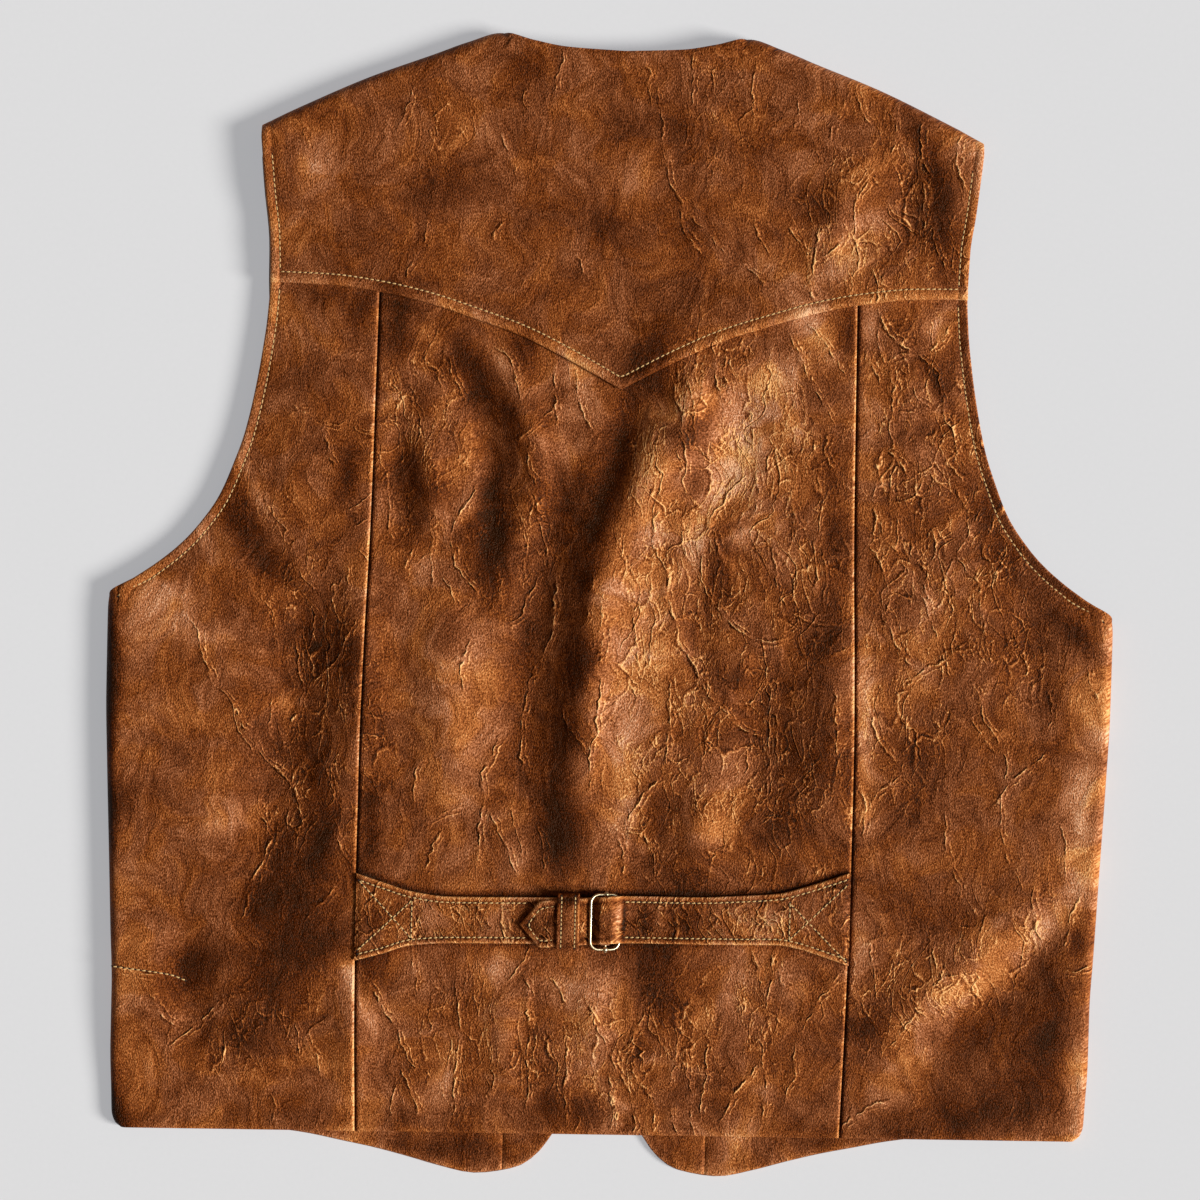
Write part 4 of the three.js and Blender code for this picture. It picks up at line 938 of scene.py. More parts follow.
CREASE_RUNS = [
    (3, 11.0, 0.06, 0.5, "wide", 0.6, 0.3, -0.22),
    (-9, 6.0, 0.09, 0.46, "wide", 0.0, 0.28, -0.2),
    (4, 3.2, 0.17, 0.46, "dense", 0.0, 0.28, -0.18),
]


def leather(name, base=0.0, crackle=1.0):
    """Oiled leather: mottled, with long creases in bundles, fine cracks and a close grain.

    The mesh carries the stains with painted light and shade on the folds, the wear with painted
    light and shade on the seam lips, the crumpled places and the placed creases. The creases'
    crests are pale, partly as painted highlight, with painted shade beside them on the side away
    from the light, and patches of painted sheen tint the colour cool.
    """
    shader = Shader(name, "2D")
    place = shader.laid_place()
    wandering = shader.warp(shader.warp(place, 34.0, 22.0), 11.0, 6.0)
    wandering = shader.warp(wandering, 3.4, 1.7)
    crumple = shader.times(shader.value("crumple"), crackle)
    creased = shader.band(crumple, 0.06, 0.55)
    streaked = shader.vector("MULTIPLY", place, (1.0, 0.5, 1.0))
    masks = {}
    for patch, (size, start, full) in CREASE_PATCHES.items():
        there = shader.band(shader.noise(streaked, size, 1.0), start, full)
        masks[patch] = shader.times(there, creased)

    def centred(where, size, octaves, roughness):
        return shader.math("SUBTRACT", shader.noise(where, size, octaves, roughness), 0.5)

    def placed(offset, half_width, shaded_side_width, gap):
        """A line at a set distance from the placed creases, with painted shade beside it on the
        side away from the light.
        """
        wobble = shader.math("MULTIPLY_ADD", shader.noise(place, 4.5, 2.0), 2.6, offset - 1.3)
        off = shader.math("ADD", shader.value("across"), wobble)
        beside = shader.math("ADD", off, half_width + 0.6 * shaded_side_width)
        there = shader.noise(shader.vector("ADD", place, (gap, gap, 0.0)), 7.0, 1.0)
        mask = shader.times(shader.band(there, 0.32, 0.62), shader.value("shown"))
        crest = shader.line(off, half_width)
        shaded_side = shader.line(beside, shaded_side_width)
        return shader.times(crest, mask), shader.times(shaded_side, mask)

    def net(size, half_width, patch):
        """The edges between cells, each with painted shade beside it on the side away from the
        light.
        """
        squeezed = shader.vector("MULTIPLY", place, (1.0, 0.62, 1.0))
        netted = shader.warp(shader.warp(squeezed, 1.4 * size, 0.9 * size), 3.0, 1.6)
        netted = shader.vector("ADD", netted, (7.3 * size, 3.1 * size, 0.0))
        beside = shader.vector("ADD", netted, (1.9 * half_width, -0.4 * half_width, 0.0))
        thin = half_width / size
        crest = shader.band(shader.cells(netted, size), 0.0, thin, 1.0, 0.0)
        shaded_side = shader.band(shader.cells(beside, size), 0.0, 1.4 * thin, 1.0, 0.0)
        there = shader.band(shader.noise(netted, 1.2 * size, 1.0), 0.36, 0.52)
        mask = shader.times(there, masks[patch])
        return shader.times(crest, mask), shader.times(shaded_side, mask)

    def run_of_creases(turn, pitch, half_width, share, patch):
        """Creases side by side, each with its own wander and its own gaps."""
        turned = shader.add("ShaderNodeMapping", {
            "Vector": wandering, "Location": (17 * pitch, 11 * pitch, 0.0),
            "Rotation": (0.0, 0.0, math.radians(turn)),
        })
        parts = shader.add("ShaderNodeSeparateXYZ", {"Vector": turned.outputs["Vector"]})
        count = shader.math("DIVIDE", parts.outputs["X"], pitch)
        number = shader.math("FLOOR", count)
        own = shader.add("ShaderNodeCombineXYZ", {
            "X": shader.times(number, 3.7),
            "Y": shader.math("DIVIDE", parts.outputs["Y"], 3.2 * pitch),
        }).outputs["Vector"]
        drift = shader.math("MULTIPLY_ADD", shader.noise(own, 1.0, 1.0), 1.5, -0.25)
        across = shader.math("SUBTRACT", shader.math("SUBTRACT", count, number), drift)
        there = shader.noise(shader.vector("ADD", own, (0.0, 40.0, 0.0)), 1.7, 1.0)
        mask = shader.times(shader.band(there, 0.97 - share, 1.1 - share), masks[patch])
        crest = shader.line(across, half_width)
        # Painted shade beside each crease, on the side away from the light.
        shaded_side = shader.line(shader.math("ADD", across, 1.5 * half_width), 1.5 * half_width)
        return shader.times(crest, mask), shader.times(shaded_side, mask)

    drawn_out = shader.vector("MULTIPLY", wandering, (1.0, 0.45, 1.0))
    pores = shader.vector("MULTIPLY", shader.warp(place, 8.0, 2.0), (1.0, 0.6, 1.0))
    mottle = centred(wandering, *MOTTLE[:3])
    clouds = centred(drawn_out, *CLOUDS[:3])
    grain = shader.noise(pores, *GRAIN[:3])

    tone = shader.math("MULTIPLY_ADD", shader.value("tone"), 0.54, 0.44 + base)
    tone = shader.math("MULTIPLY_ADD", mottle, MOTTLE[3], tone)
    tone = shader.math("MULTIPLY_ADD", clouds, CLOUDS[3], tone)
    tone = shader.math("MULTIPLY_ADD", shader.math("SUBTRACT", grain, 0.5), GRAIN[3], tone)
    tone = shader.math("MULTIPLY_ADD", shader.value("wear_and_lip_light"), 0.22, tone)
    height = shader.math("MULTIPLY_ADD", grain, 0.7, shader.times(clouds, 1.2))
    golden = shader.times(shader.value("wear_and_lip_light"), 0.3)

    lines = [(placed(*line[:4]), *line[4:]) for line in PLACED_LINES]
    lines += [(net(*line[:3]), 0.0, *line[3:]) for line in CREASE_NETS]
    lines += [(run_of_creases(*line[:5]), *line[5:]) for line in CREASE_RUNS]
    # Crests are paler, partly as painted highlight, and the tone beside them is darkened as painted
    # shade.
    for (crest, shaded_side), rise, light, dark in lines:
        tone = shader.math("MULTIPLY_ADD", crest, light, tone)
        tone = shader.math("MULTIPLY_ADD", shaded_side, dark, tone)
        golden = shader.math("MULTIPLY_ADD", crest, 0.8, golden)
        if rise:
            height = shader.math("MULTIPLY_ADD", crest, rise, height)
            height = shader.math("MULTIPLY_ADD", shaded_side, -0.5 * rise, height)

    # Painted sheen: patches tinted cool grey. Crests and pale or lit edges are tinted golden,
    # partly as painted highlight.
    sheen = shader.band(shader.noise(wandering, 26.0, 2.0), 0.36, 0.62)
    tint = shader.mix(shader.math("SUBTRACT", sheen, golden, clamp=True), GOLDEN, SHEEN_TINT)
    color = shader.mix(1.0, shader.ramp(tone, LEATHER_TONES), tint, "MULTIPLY")
    shader.bump(height)
    roughness = shader.math("MULTIPLY_ADD", tone, 0.16, 0.42)
    return shader.finish(Base_Color=color, Roughness=roughness, Specular_IOR_Level=0.1,
                         Specular_Tint=(1.0, 0.75, 0.5, 1.0))


def flesh_side():
    """The leather's rough inner face."""
    shader = Shader("leather_inside")
    place = shader.place()
    fuzz = shader.noise(place, 0.9, 4.0, 0.7)
    color = shader.ramp(fuzz, [(0.3, srgb(104, 62, 36)), (0.7, srgb(150, 98, 60))])
    shader.bump(shader.times(fuzz, 0.3))
    return shader.finish(Base_Color=color, Roughness=0.9)


def thread_material():
    shader = Shader("waxed_thread")
    place = shader.place()
    twist = shader.noise(shader.vector("MULTIPLY", place, (3.0, 3.0, 1.0)), 0.7, 2.0)
    color = shader.ramp(twist, [(0.25, srgb(150, 106, 56)), (0.6, srgb(236, 198, 136))])
    shader.bump(shader.times(twist, 0.1))
    return shader.finish(Base_Color=color, Roughness=0.6, Specular_IOR_Level=0.2)


# Near-black discs, painted in place of the shade inside each stitch hole.
def hole_shade_material():
    shader = Shader("stitch_hole_shade")
    spots = shader.noise(shader.place(), 0.6)
    color = shader.ramp(spots, [(0.3, srgb(14, 5, 1)), (0.7, srgb(34, 14, 4))])
    return shader.finish(Base_Color=color, Roughness=0.9)


def metal(name, dull, bright, rough):
    shader = Shader(name)
    marks = shader.noise(shader.place(), 1.6, 4.0, 0.6)
    color = shader.ramp(marks, [(0.3, dull), (0.7, bright)])
    shader.bump(shader.times(marks, 0.02))
    roughness = shader.math("MULTIPLY_ADD", marks, 0.2, rough)
    return shader.finish(Base_Color=color, Roughness=roughness, Metallic=1.0)


def lining_cloth():
    shader = Shader("lining_cloth")
    place = shader.place()
    threads = shader.noise(shader.vector("MULTIPLY", place, (4.0, 1.0, 1.0)), 0.5, 2.0)
    color = shader.ramp(threads, [(0.2, srgb(188, 184, 178)), (0.8, srgb(226, 223, 217))])
    shader.bump(shader.times(threads, 0.08))
    return shader.finish(Base_Color=color, Roughness=0.85)


BACK = leather("back_leather")
FRONT = leather("front_leather", 0.0, 0.7)
BELT = leather("belt_leather", 0.03, 1.0)
INSIDE = flesh_side()
THREAD = thread_material()
HOLE_SHADE = hole_shade_material()
BUCKLE_METAL = metal("pale_brass", srgb(196, 180, 140), srgb(236, 224, 192), 0.26)
SNAP_METAL = metal("antique_brass", srgb(120, 96, 58), srgb(170, 142, 92), 0.3)
LINING = lining_cloth()


# Stitches

def stitch_rows(name, rows, pitch=STITCH_PITCH):
    """Rows of short raised stitches with a near-black disc between each two, painted shade for the
    hole.
    """
    sides = 6
    rings = [(-0.5, 0.45), (-0.42, 0.85), (-0.2, 1.0), (0.2, 1.0), (0.42, 0.85), (0.5, 0.45)]
    length = 0.72 * pitch
    radius = 0.4
    template = []
    for share, size in rings:
        rise = 0.34 * (1 - (2 * share) ** 4) - 0.12
        for side in range(sides):
            angle = 2 * math.pi * side / sides
            template.append((share * length, radius * size * math.cos(angle),
                             rise + 0.75 * radius * size * math.sin(angle)))
    body = np.array(template)
    faces = []
    for ring in range(len(rings) - 1):
        for side in range(sides):
            after = (side + 1) % sides
            faces.append([ring * sides + side, (ring + 1) * sides + side,
                          (ring + 1) * sides + after, ring * sides + after])
    faces.append(list(range(sides))[::-1])
    faces.append([(len(rings) - 1) * sides + side for side in range(sides)])
    corners = 8
    angles = 2 * np.pi * np.arange(corners) / corners
    disc = np.stack([0.72 * np.cos(angles), 0.5 * np.sin(angles), np.full(corners, 0.07)], -1)
    disc = np.concatenate([disc, disc - (0, 0, 0.3)])
    disc_faces = [list(range(corners)), list(range(2 * corners - 1, corners - 1, -1))]
    for k in range(corners):
        after = (k + 1) % corners
        disc_faces.append([k, k + corners, after + corners, after])

    chance = np.random.default_rng(7)
    points = []
    thread_faces = []
    hole_shade_faces = []
    count = 0

    def put(shape, shape_faces, collected, origin, along, turn):
        nonlocal count
        across = np.cross((0, 0, 1), along)
        across /= np.linalg.norm(across)
        up = np.cross(along, across)
        spun = along * math.cos(turn) + across * math.sin(turn)
        side = across * math.cos(turn) - along * math.sin(turn)
        points.append(origin + shape[:, :1] * spun + shape[:, 1:2] * side + shape[:, 2:] * up)
        collected.extend([count + corner for corner in face] for face in shape_faces)
        count += len(shape)

    for row in rows:
        row = np.asarray(row, float)
        run = length_along(row)
        number = max(1, round(run[-1] / pitch))
        at = run[-1] * np.arange(number + 1) / number
        ends = np.stack([np.interp(at, run, row[:, axis]) for axis in range(3)], 1)
        for start, end in zip(ends[:-1], ends[1:]):
            along = (end - start) / np.linalg.norm(end - start)
            turn = chance.normal(0.1, 0.05)
            put(body * chance.normal(1, 0.04), faces, thread_faces, (start + end) / 2, along, turn)
            put(disc, disc_faces, hole_shade_faces, start, along, 0)
        put(disc, disc_faces, hole_shade_faces, end, along, 0)
    every = np.concatenate(points)
    thing = make_object(name, every, thread_faces + hole_shade_faces, [THREAD, HOLE_SHADE], len(thread_faces))
    return thing


# Back panels

def belt_shade(x, y):
    """Painted shadow on the panels along the belt's edges, more above it than below."""
    over = y - np.where(x < -40, through(BELT_LEFT, 1)(x), through(BELT_RIGHT, 1)(x))
    under = np.where(x < -40, through(BELT_LEFT, 2)(x), through(BELT_RIGHT, 2)(x)) - y
    near = 0.8 * bell(over, 3) + 0.35 * bell(under, 2.5)
    return -near * (1 - smooth(np.abs(x), 147, 150))


def panel_values(x, y, wear_and_lip_light):
    """What the leather material reads from the mesh."""
    height, across, shown = creases(x, y)
    # The tone takes painted light and shade from the folds and creases, lighter on their tops, and
    # the painted shadow along the belt.
    shading = 0.06 * ridges(FOLDS, x, y) + 0.12 * height
    return {
        "tone": patches(TONE_AND_SHADE_PATCHES, x, y) + shading + belt_shade(x, y),
        "across": across,
        "shown": shown,
        "crumple": np.clip(BASE_CRUMPLE + patches(CRUMPLED, x, y), 0, 1.2),
        "wear_and_lip_light": np.clip(wear_and_lip_light, -2, 1.6),
    }


def yoke_surface(x, y, from_low, from_side):
    """The yoke's outer height with its sewn edges."""
    calm = smooth(from_low, 3, 14) * smooth(from_side, 2, 12)
    return (yoke_height(x, y) + calm * relief(x, y)
            + sewn_edge(from_low, YOKE_ROW) + sewn_edge(from_side, ARMHOLE_ROW))


def yoke():
    edge = EDGE_STEPS[-1]
    middle = steps(-1, 1, PANEL_STEP / (TIP_X - edge))
    near = np.array(EDGE_STEPS[:-1])
    share = np.concatenate([np.full(len(near), -1.0), middle, np.full(len(near), 1.0)])
    shift = np.concatenate([near - edge, np.zeros(len(middle)), (edge - near)[::-1]])
    from_side = np.concatenate([near, (1 - np.abs(middle)) * (TIP_X - edge) + edge, near[::-1]])
    nominal = share * (TIP_X - edge) + shift
    full = smooth(np.abs(nominal), NECK_POINT_X - 9, NECK_POINT_X + 9)
    arc = math.pi * SHOULDER_ROLL
    lengths = steps(0, arc + SHOULDER_FLAP, 1.5)[1:]
    turned = np.minimum(full * (arc + SHOULDER_FLAP), arc / 2)
    end = top_outline(np.abs(nominal)) - SHOULDER_ROLL * np.sin(turned / SHOULDER_ROLL)

    def x_at(y):
        level = np.minimum(y, TIP_Y)
        return share * (half_width(level) - edge) + shift

    start = yoke_edge(x_at(190))
    stretch = edge_stretch(x_at(190))
    climb = np.concatenate([[0], steps(0, 1, PANEL_STEP / 175)[1:]])
    rows = [start + d * stretch for d in EDGE_STEPS[:-1]]
    rows += [lerp(start + edge * stretch, end, t) for t in climb]
    low = np.concatenate([EDGE_STEPS[:-1], edge + climb * 150])
    y = np.stack(rows, 1)
    x = np.stack([x_at(row) for row in rows], 1)
    from_low = np.broadcast_to(low, y.shape)
    to_side = np.broadcast_to(from_side[:, None], y.shape)
    z = yoke_surface(x, y, from_low, to_side)
    free = (1 - full)[:, None]
    to_top = end[:, None] - y
    z = z - free * rounding(to_top, 1.0) + free * 0.35 * bell(to_top - 4, 3)
    flat = yoke_height(x, y) - LEATHER
    outer = grid(x, y, z)
    inner = grid(x, y, flat + 0.4 * free * rounding(to_top, 1.0))
    rolled, lined = roll_over(full[:, None] * lengths, SHOULDER_ROLL, z[:, -1:])
    outer = np.concatenate([outer, grid(x[:, -1:], end[:, None] + rolled[0], rolled[1])], 1)
    inner = np.concatenate([inner, grid(x[:, -1:], end[:, None] + lined[0], lined[1])], 1)
    worn_and_lit_edges = bell(from_low, 5) + 0.8 * bell(to_side, 4.5)
    worn_and_lit_edges = np.concatenate([worn_and_lit_edges, np.repeat(worn_and_lit_edges[:, -1:], len(lengths), 1)], 1)
    values = panel_values(outer[..., 0], outer[..., 1], worn_and_lit_edges)
    return shell("yoke_leather", outer, inner, [BACK, INSIDE], values)


def panel_surface(x, y, from_seam):
    """A lower panel's outer height. Its creases die away under the yoke."""
    hidden = smooth(y - yoke_edge(x), -2, 3)
    calm = (1 - hidden) * smooth(from_seam, 0.5, 6)
    return back_height(x, y) + calm * relief(x, y) - rounding(from_seam, 1.7)


def hem_form(level):
    distance = level - HEM_Y
    return 0.3 * bell(distance - 4, 3) - rounding(distance, 0.9)


def lip_light_and_pale_hem(from_seam, level, lit):
    """A seam lip is painted pale, as lit, where it faces the light, and painted dark, as shaded,
    where it faces away. The hem's edge is paler.
    """
    return (1.5 if lit else -2) * bell(from_seam, 1.6) + 0.5 * bell(level - HEM_Y, 3)


def centre():
    lip = LIP_STEPS[-1]
    near = np.array(LIP_STEPS[:-1])
    middle = steps(-1, 1, PANEL_STEP / 145)
    share = np.concatenate([np.full(len(near), -1.0), middle, np.full(len(near), 1.0)])
    shift = np.concatenate([near - lip, np.zeros(len(middle)), (lip - near)[::-1]])
    from_seam = np.concatenate([near, (1 - np.abs(middle)) * 140 + lip, near[::-1]])
    top = yoke_edge(share * 145) + YOKE_LAP
    climb = steps(0, 1, PANEL_STEP / 500)[1:]
    low = HEM_Y + np.array(LIP_STEPS)
    rows = [np.full(len(share), level) for level in low]
    rows += [lerp(low[-1], top, t) for t in climb]
    level = np.stack(rows, 1)
    x = share[:, None] * (seam_x(level) - SEAM_GAP / 2 - lip) + shift[:, None]
    y = level + hem_tilt(x, level)
    z = panel_surface(x, y, from_seam[:, None]) + hem_form(level)
    outer = grid(x, y, z)
    inner = grid(x, y, back_height(x, y) - LEATHER)
    # The right lip, facing the light, is painted pale as lit; the left lip is painted dark as
    # shaded.
    lips = [lip_light_and_pale_hem(from_seam[:, None], level, lit) for lit in (True, False)]
    worn_and_lit_edges = np.where(share[:, None] > 0, *lips)
    return shell("centre_leather", outer, inner, [BACK, INSIDE], panel_values(x, y, worn_and_lit_edges))


def side_panel(side, name):
    lip = LIP_STEPS[-1]
    edge = EDGE_STEPS[-1]
    low = HEM_Y + np.array(LIP_STEPS)
    level = np.concatenate([low, steps(low[-1], SIDE_TOP, PANEL_STEP)[1:]])[:, None]
    radius = back_height(half_width(level), level) / 2
    arc = math.pi * radius
    full = 1 - smooth(level, -16, 8)
    reach = radius * np.sin(np.minimum(full * (arc + SIDE_FLAP), arc / 2) / radius)
    end = half_width(level) - reach
    start = seam_x(level) + SEAM_GAP / 2
    stretch = np.minimum(side_stretch(level), 1.9)
    climb = steps(0, 1, PANEL_STEP / 130)
    x = np.concatenate([
        start + np.array(LIP_STEPS[:-1]),
        lerp(start + lip, end - edge * stretch, climb),
        end - np.array(EDGE_STEPS[-2::-1]) * stretch,
    ], 1)
    from_seam = x - start
    count = x.shape[1] - len(EDGE_STEPS) + 1
    far = (1 - climb) * 100 + edge
    from_side = np.concatenate([np.full(count - len(climb), 200.0), far, EDGE_STEPS[-2::-1]])
    from_side = from_side[None, :]
    y = level + hem_tilt(side * x, level)
    x = side * x
    loose = 1 - full
    calm = lerp(1, smooth(from_side, 2, 12), loose)
    ground = back_height(x, y)
    z = ground + calm * (panel_surface(x, y, from_seam) - ground)
    z = z + hem_form(level) + loose * sewn_edge(from_side, ARMHOLE_ROW)
    outer = grid(x, y, z)
    inner = grid(x, y, ground - LEATHER)
    share = np.linspace(0, 1, 22)[1:]
    rolled, lined = roll_over(full * share * (arc + SIDE_FLAP), radius, z[:, -1:])
    outer = np.concatenate([outer, grid(side * (end + rolled[0]), y[:, -1:], rolled[1])], 1)
    inner = np.concatenate([inner, grid(side * (end + lined[0]), y[:, -1:], lined[1])], 1)
    # The left armhole band is paler and the right one darker with a pale edge, and the folded sides
    # are paler; the seam lips take painted light and shade.
    band = 0.8 if side < 0 else 1.4 * bell(from_side, 1.2) - 0.9
    worn_and_lit_edges = band * loose * bell(from_side, 4.5) + 0.5 * full * bell(from_side, 14)
    worn_and_lit_edges = worn_and_lit_edges + lip_light_and_pale_hem(from_seam, level, side < 0)
    worn_and_lit_edges = np.concatenate([worn_and_lit_edges, np.repeat(worn_and_lit_edges[:, -1:], len(share), 1)], 1)
    values = panel_values(outer[..., 0], outer[..., 1], worn_and_lit_edges)
    return shell(name, outer, inner, [BACK, INSIDE], values)


def yoke_stitches():
    x = steps(-half_width(190) + ARMHOLE_ROW, half_width(190) - ARMHOLE_ROW, 0.8)
    y = yoke_edge(x) + YOKE_ROW * edge_stretch(x)
    from_side = half_width(y) - np.abs(x)
    return np.stack([x, y, yoke_surface(x, y, np.full(len(x), YOKE_ROW), from_side)], 1)


def armhole_stitches(side):
    y = steps(199, 268, 0.8)
    x = side * (half_width(y) - ARMHOLE_ROW)
    from_low = (y - yoke_edge(x)) / edge_stretch(x)
    on_yoke = np.stack([x, y, yoke_surface(x, y, from_low, np.full(len(y), ARMHOLE_ROW))], 1)
    level = steps(-2, 187, 0.8)
    ax = half_width(level) - ARMHOLE_ROW * np.minimum(side_stretch(level), 1.9)
    y = level + hem_tilt(side * ax, level)
    z = back_height(side * ax, y) + sewn_edge(np.full(len(y), ARMHOLE_ROW), ARMHOLE_ROW)
    on_side = np.stack([side * ax, y, z], 1)
    return [on_yoke, on_side]


# Fronts

def curve(points):
    """A centripetal spline through points, as a function of the share of its length."""
    points = np.array(points, float)
    points = np.concatenate([[2 * points[0] - points[1]], points, [2 * points[-1] - points[-2]]])
    samples = []
    for k in range(1, len(points) - 2):
        p0, p1, p2, p3 = points[k - 1:k + 3]
        d0, d1, d2 = (math.sqrt(np.linalg.norm(b - a)) for a, b in ((p0, p1), (p1, p2), (p2, p3)))
        t1 = d1 * ((p1 - p0) / d0 - (p2 - p0) / (d0 + d1) + (p2 - p1) / d1)
        t2 = d1 * ((p2 - p1) / d1 - (p3 - p1) / (d1 + d2) + (p3 - p2) / d2)
        t = np.linspace(0, 1, 41)[:-1, None]
        samples.append(p1 + t1 * t + (-3 * p1 + 3 * p2 - 2 * t1 - t2) * t ** 2
                       + (2 * p1 - 2 * p2 + t1 + t2) * t ** 3)
    line = np.concatenate([*samples, points[-2:-1]])
    run = length_along(line)
    run /= run[-1]
    return lambda t: np.stack([np.interp(t, run, line[:, 0]), np.interp(t, run, line[:, 1])], -1)


def front_armhole(y, side):
    inset = lerp(3, -1.4, smooth(y, 150, LINING_LOW)) if side < 0 else 3
    return half_width(y) - inset


def front_lift(x, y, side):
    overlap = smooth(y, -320, -286)
    if side < 0:
        return OUTER_LIFT * smooth(x, -40, -14) * overlap
    return INNER_LIFT * (1 - smooth(x, 14, 50)) * overlap


def front_edges(side):
    def seam_line(y):
        return half_width(y) - back_height(half_width(y), y) / 2 - SIDE_FLAP - 2 * SEAM_GAP

    seam_y = np.array([-320, -316, -308, -296, -278, -258, -238, -200, -160, -100, -60, -20], float)
    side_line = seam_line(seam_y)
    side_seam = np.stack([side_line, seam_y + hem_tilt(side * side_line, seam_y) + 2], 1)
    arm_y = np.array([0, 12, 24, 40, 60, 80, 100, 130, 160, 190, 220, 245, 258], float)
    limit = float(seam_line(np.array([-20.0]))[0])
    armhole = np.stack([np.minimum(front_armhole(arm_y, side), limit), arm_y], 1)

    def shoulder(x):
        return top_outline(x) - SHOULDER_ROLL - SHOULDER_FLAP - 2 * SEAM_GAP

    tip = (float(front_armhole(266, side)), float(shoulder(TIP_X)) - SEAM_GAP)
    seam = [(x, float(shoulder(x))) for x in (84, 100, 120, 140, 160, 180, 200)]
    placket = [(-PLACKET, y) for y in (-262, -200, -120, -40, 20)]
    hem = [(x, y + float(hem_tilt(side * x, y))) for x, y in FRONT_HEM[:-1]]
    return {
        "hem": curve([*hem, side_seam[0]]),
        "shoulder": curve([*seam, tip]),
        "inner": curve([*placket, *FRONT_NECKLINE, seam[0]]),
        "outer": curve([*side_seam, *armhole, tip]),
    }


def front(side, name):
    edges = front_edges(side)
    near = [0, 0.3, 0.8, 1.5, 3]
    lip = near[-1]
    rim = np.array(near[:-1]) / FRONT_WIDE
    inside = steps(lip / FRONT_WIDE, 1 - lip / FRONT_WIDE, FRONT_STEP / FRONT_WIDE)
    across = np.concatenate([rim, inside, 1 - rim[::-1]])
    above = steps(lip / FRONT_TALL, 1, FRONT_STEP / FRONT_TALL)
    upwards = np.concatenate([np.array(near[:-1]) / FRONT_TALL, above])
    u, v = np.meshgrid(across, upwards, indexing="ij")
    first, last = edges["hem"](0.0), edges["hem"](1.0)
    inner_top, outer_top = edges["inner"](1.0), edges["outer"](1.0)
    inner_line, outer_line = edges["inner"](v), edges["outer"](v)
    hem, top = edges["hem"](u), edges["shoulder"](u)
    place = []
    for axis in (0, 1):
        low_corners = lerp(first[axis], last[axis], u)
        corners = lerp(low_corners, lerp(inner_top[axis], outer_top[axis], u), v)
        place.append(lerp(inner_line[..., axis], outer_line[..., axis], u)
                     + lerp(hem[..., axis], top[..., axis], v) - corners)
    x = side * place[0]
    y = place[1]
    z = front_lift(x, y, side)
    from_hem = v * FRONT_TALL
    from_inner = u * FRONT_WIDE
    drop = np.maximum(rounding(from_hem, 0.8), rounding(from_inner, 0.8))
    outer = grid(x, y, z + drop)
    inner = grid(x, y, z + LEATHER)
    worn_and_lit_edges = 0.8 * bell(np.minimum(from_hem, from_inner), 4)
    return shell(name, outer, inner, [FRONT, INSIDE], panel_values(x, y, worn_and_lit_edges), coarse=2)


def facing(side, start, end, name):
    ax = steps(start, end, 1.5)
    t = np.array([0, 0.006, 0.014, 0.03, 0.06, *steps(0.1, 1, 0.03)])
    x = side * ax
    low = front_hem(ax) + hem_tilt(x, HEM_Y) + 0.4
    y = lerp(low[:, None], np.maximum(-286, low + 2)[:, None], t)
    x = np.broadcast_to(x[:, None], y.shape)
    z = front_lift(x, y, side) + LEATHER + LOOSE_GAP
    edge = y - low[:, None]
    from_ends = np.minimum(ax - start, end - ax)[:, None]
    form = 0.3 * noise(x, y, 9, 41) * smooth(edge, 1, 6)
    form = form - rounding(edge, 0.8) - rounding(from_ends, 0.9)
    outer = grid(x, y, z + FACING + form)
    inner = grid(x, y, z)
    worn_and_lit_edges = 0.8 * bell(edge, 3) + 0.6 * bell(from_ends, 1.5)
    return shell(name, outer, inner, [FRONT, INSIDE], panel_values(x, y, worn_and_lit_edges), coarse=2)


def lining_strip():
    y = steps(LINING_LOW, LINING_HIGH, 2)
    t = np.linspace(0, 1, 9)
    reach = front_armhole(y, -1) - 0.4
    x = -(reach[:, None] - t * (LINING_WIDTH - 0.4))
    y = np.broadcast_to(y[:, None], x.shape)
    z = LEATHER + LAY_GAP + 0.2 * noise(x, y, 8, 51)
    materials = [LINING, LINING]
    return shell("armhole_lining_cloth", grid(x, y, z + FACING), grid(x, y, z), materials, coarse=2)


# Belt

def belt_seat(x):
    levels = BELT_Y + np.array([-22, -14, -7, 0, 7, 14, 22.0])
    return np.max([back_height(x, level + 0 * x) for level in levels], axis=0) + LOOSE_GAP


SEAT_AT_BUCKLE = float(np.max(belt_seat(steps(-32, 24, 4))))


def belt_height(x):
    level = smooth(x, -90, -45) * (1 - smooth(x, 26, 70))
    return lerp(belt_seat(x), SEAT_AT_BUCKLE, level)


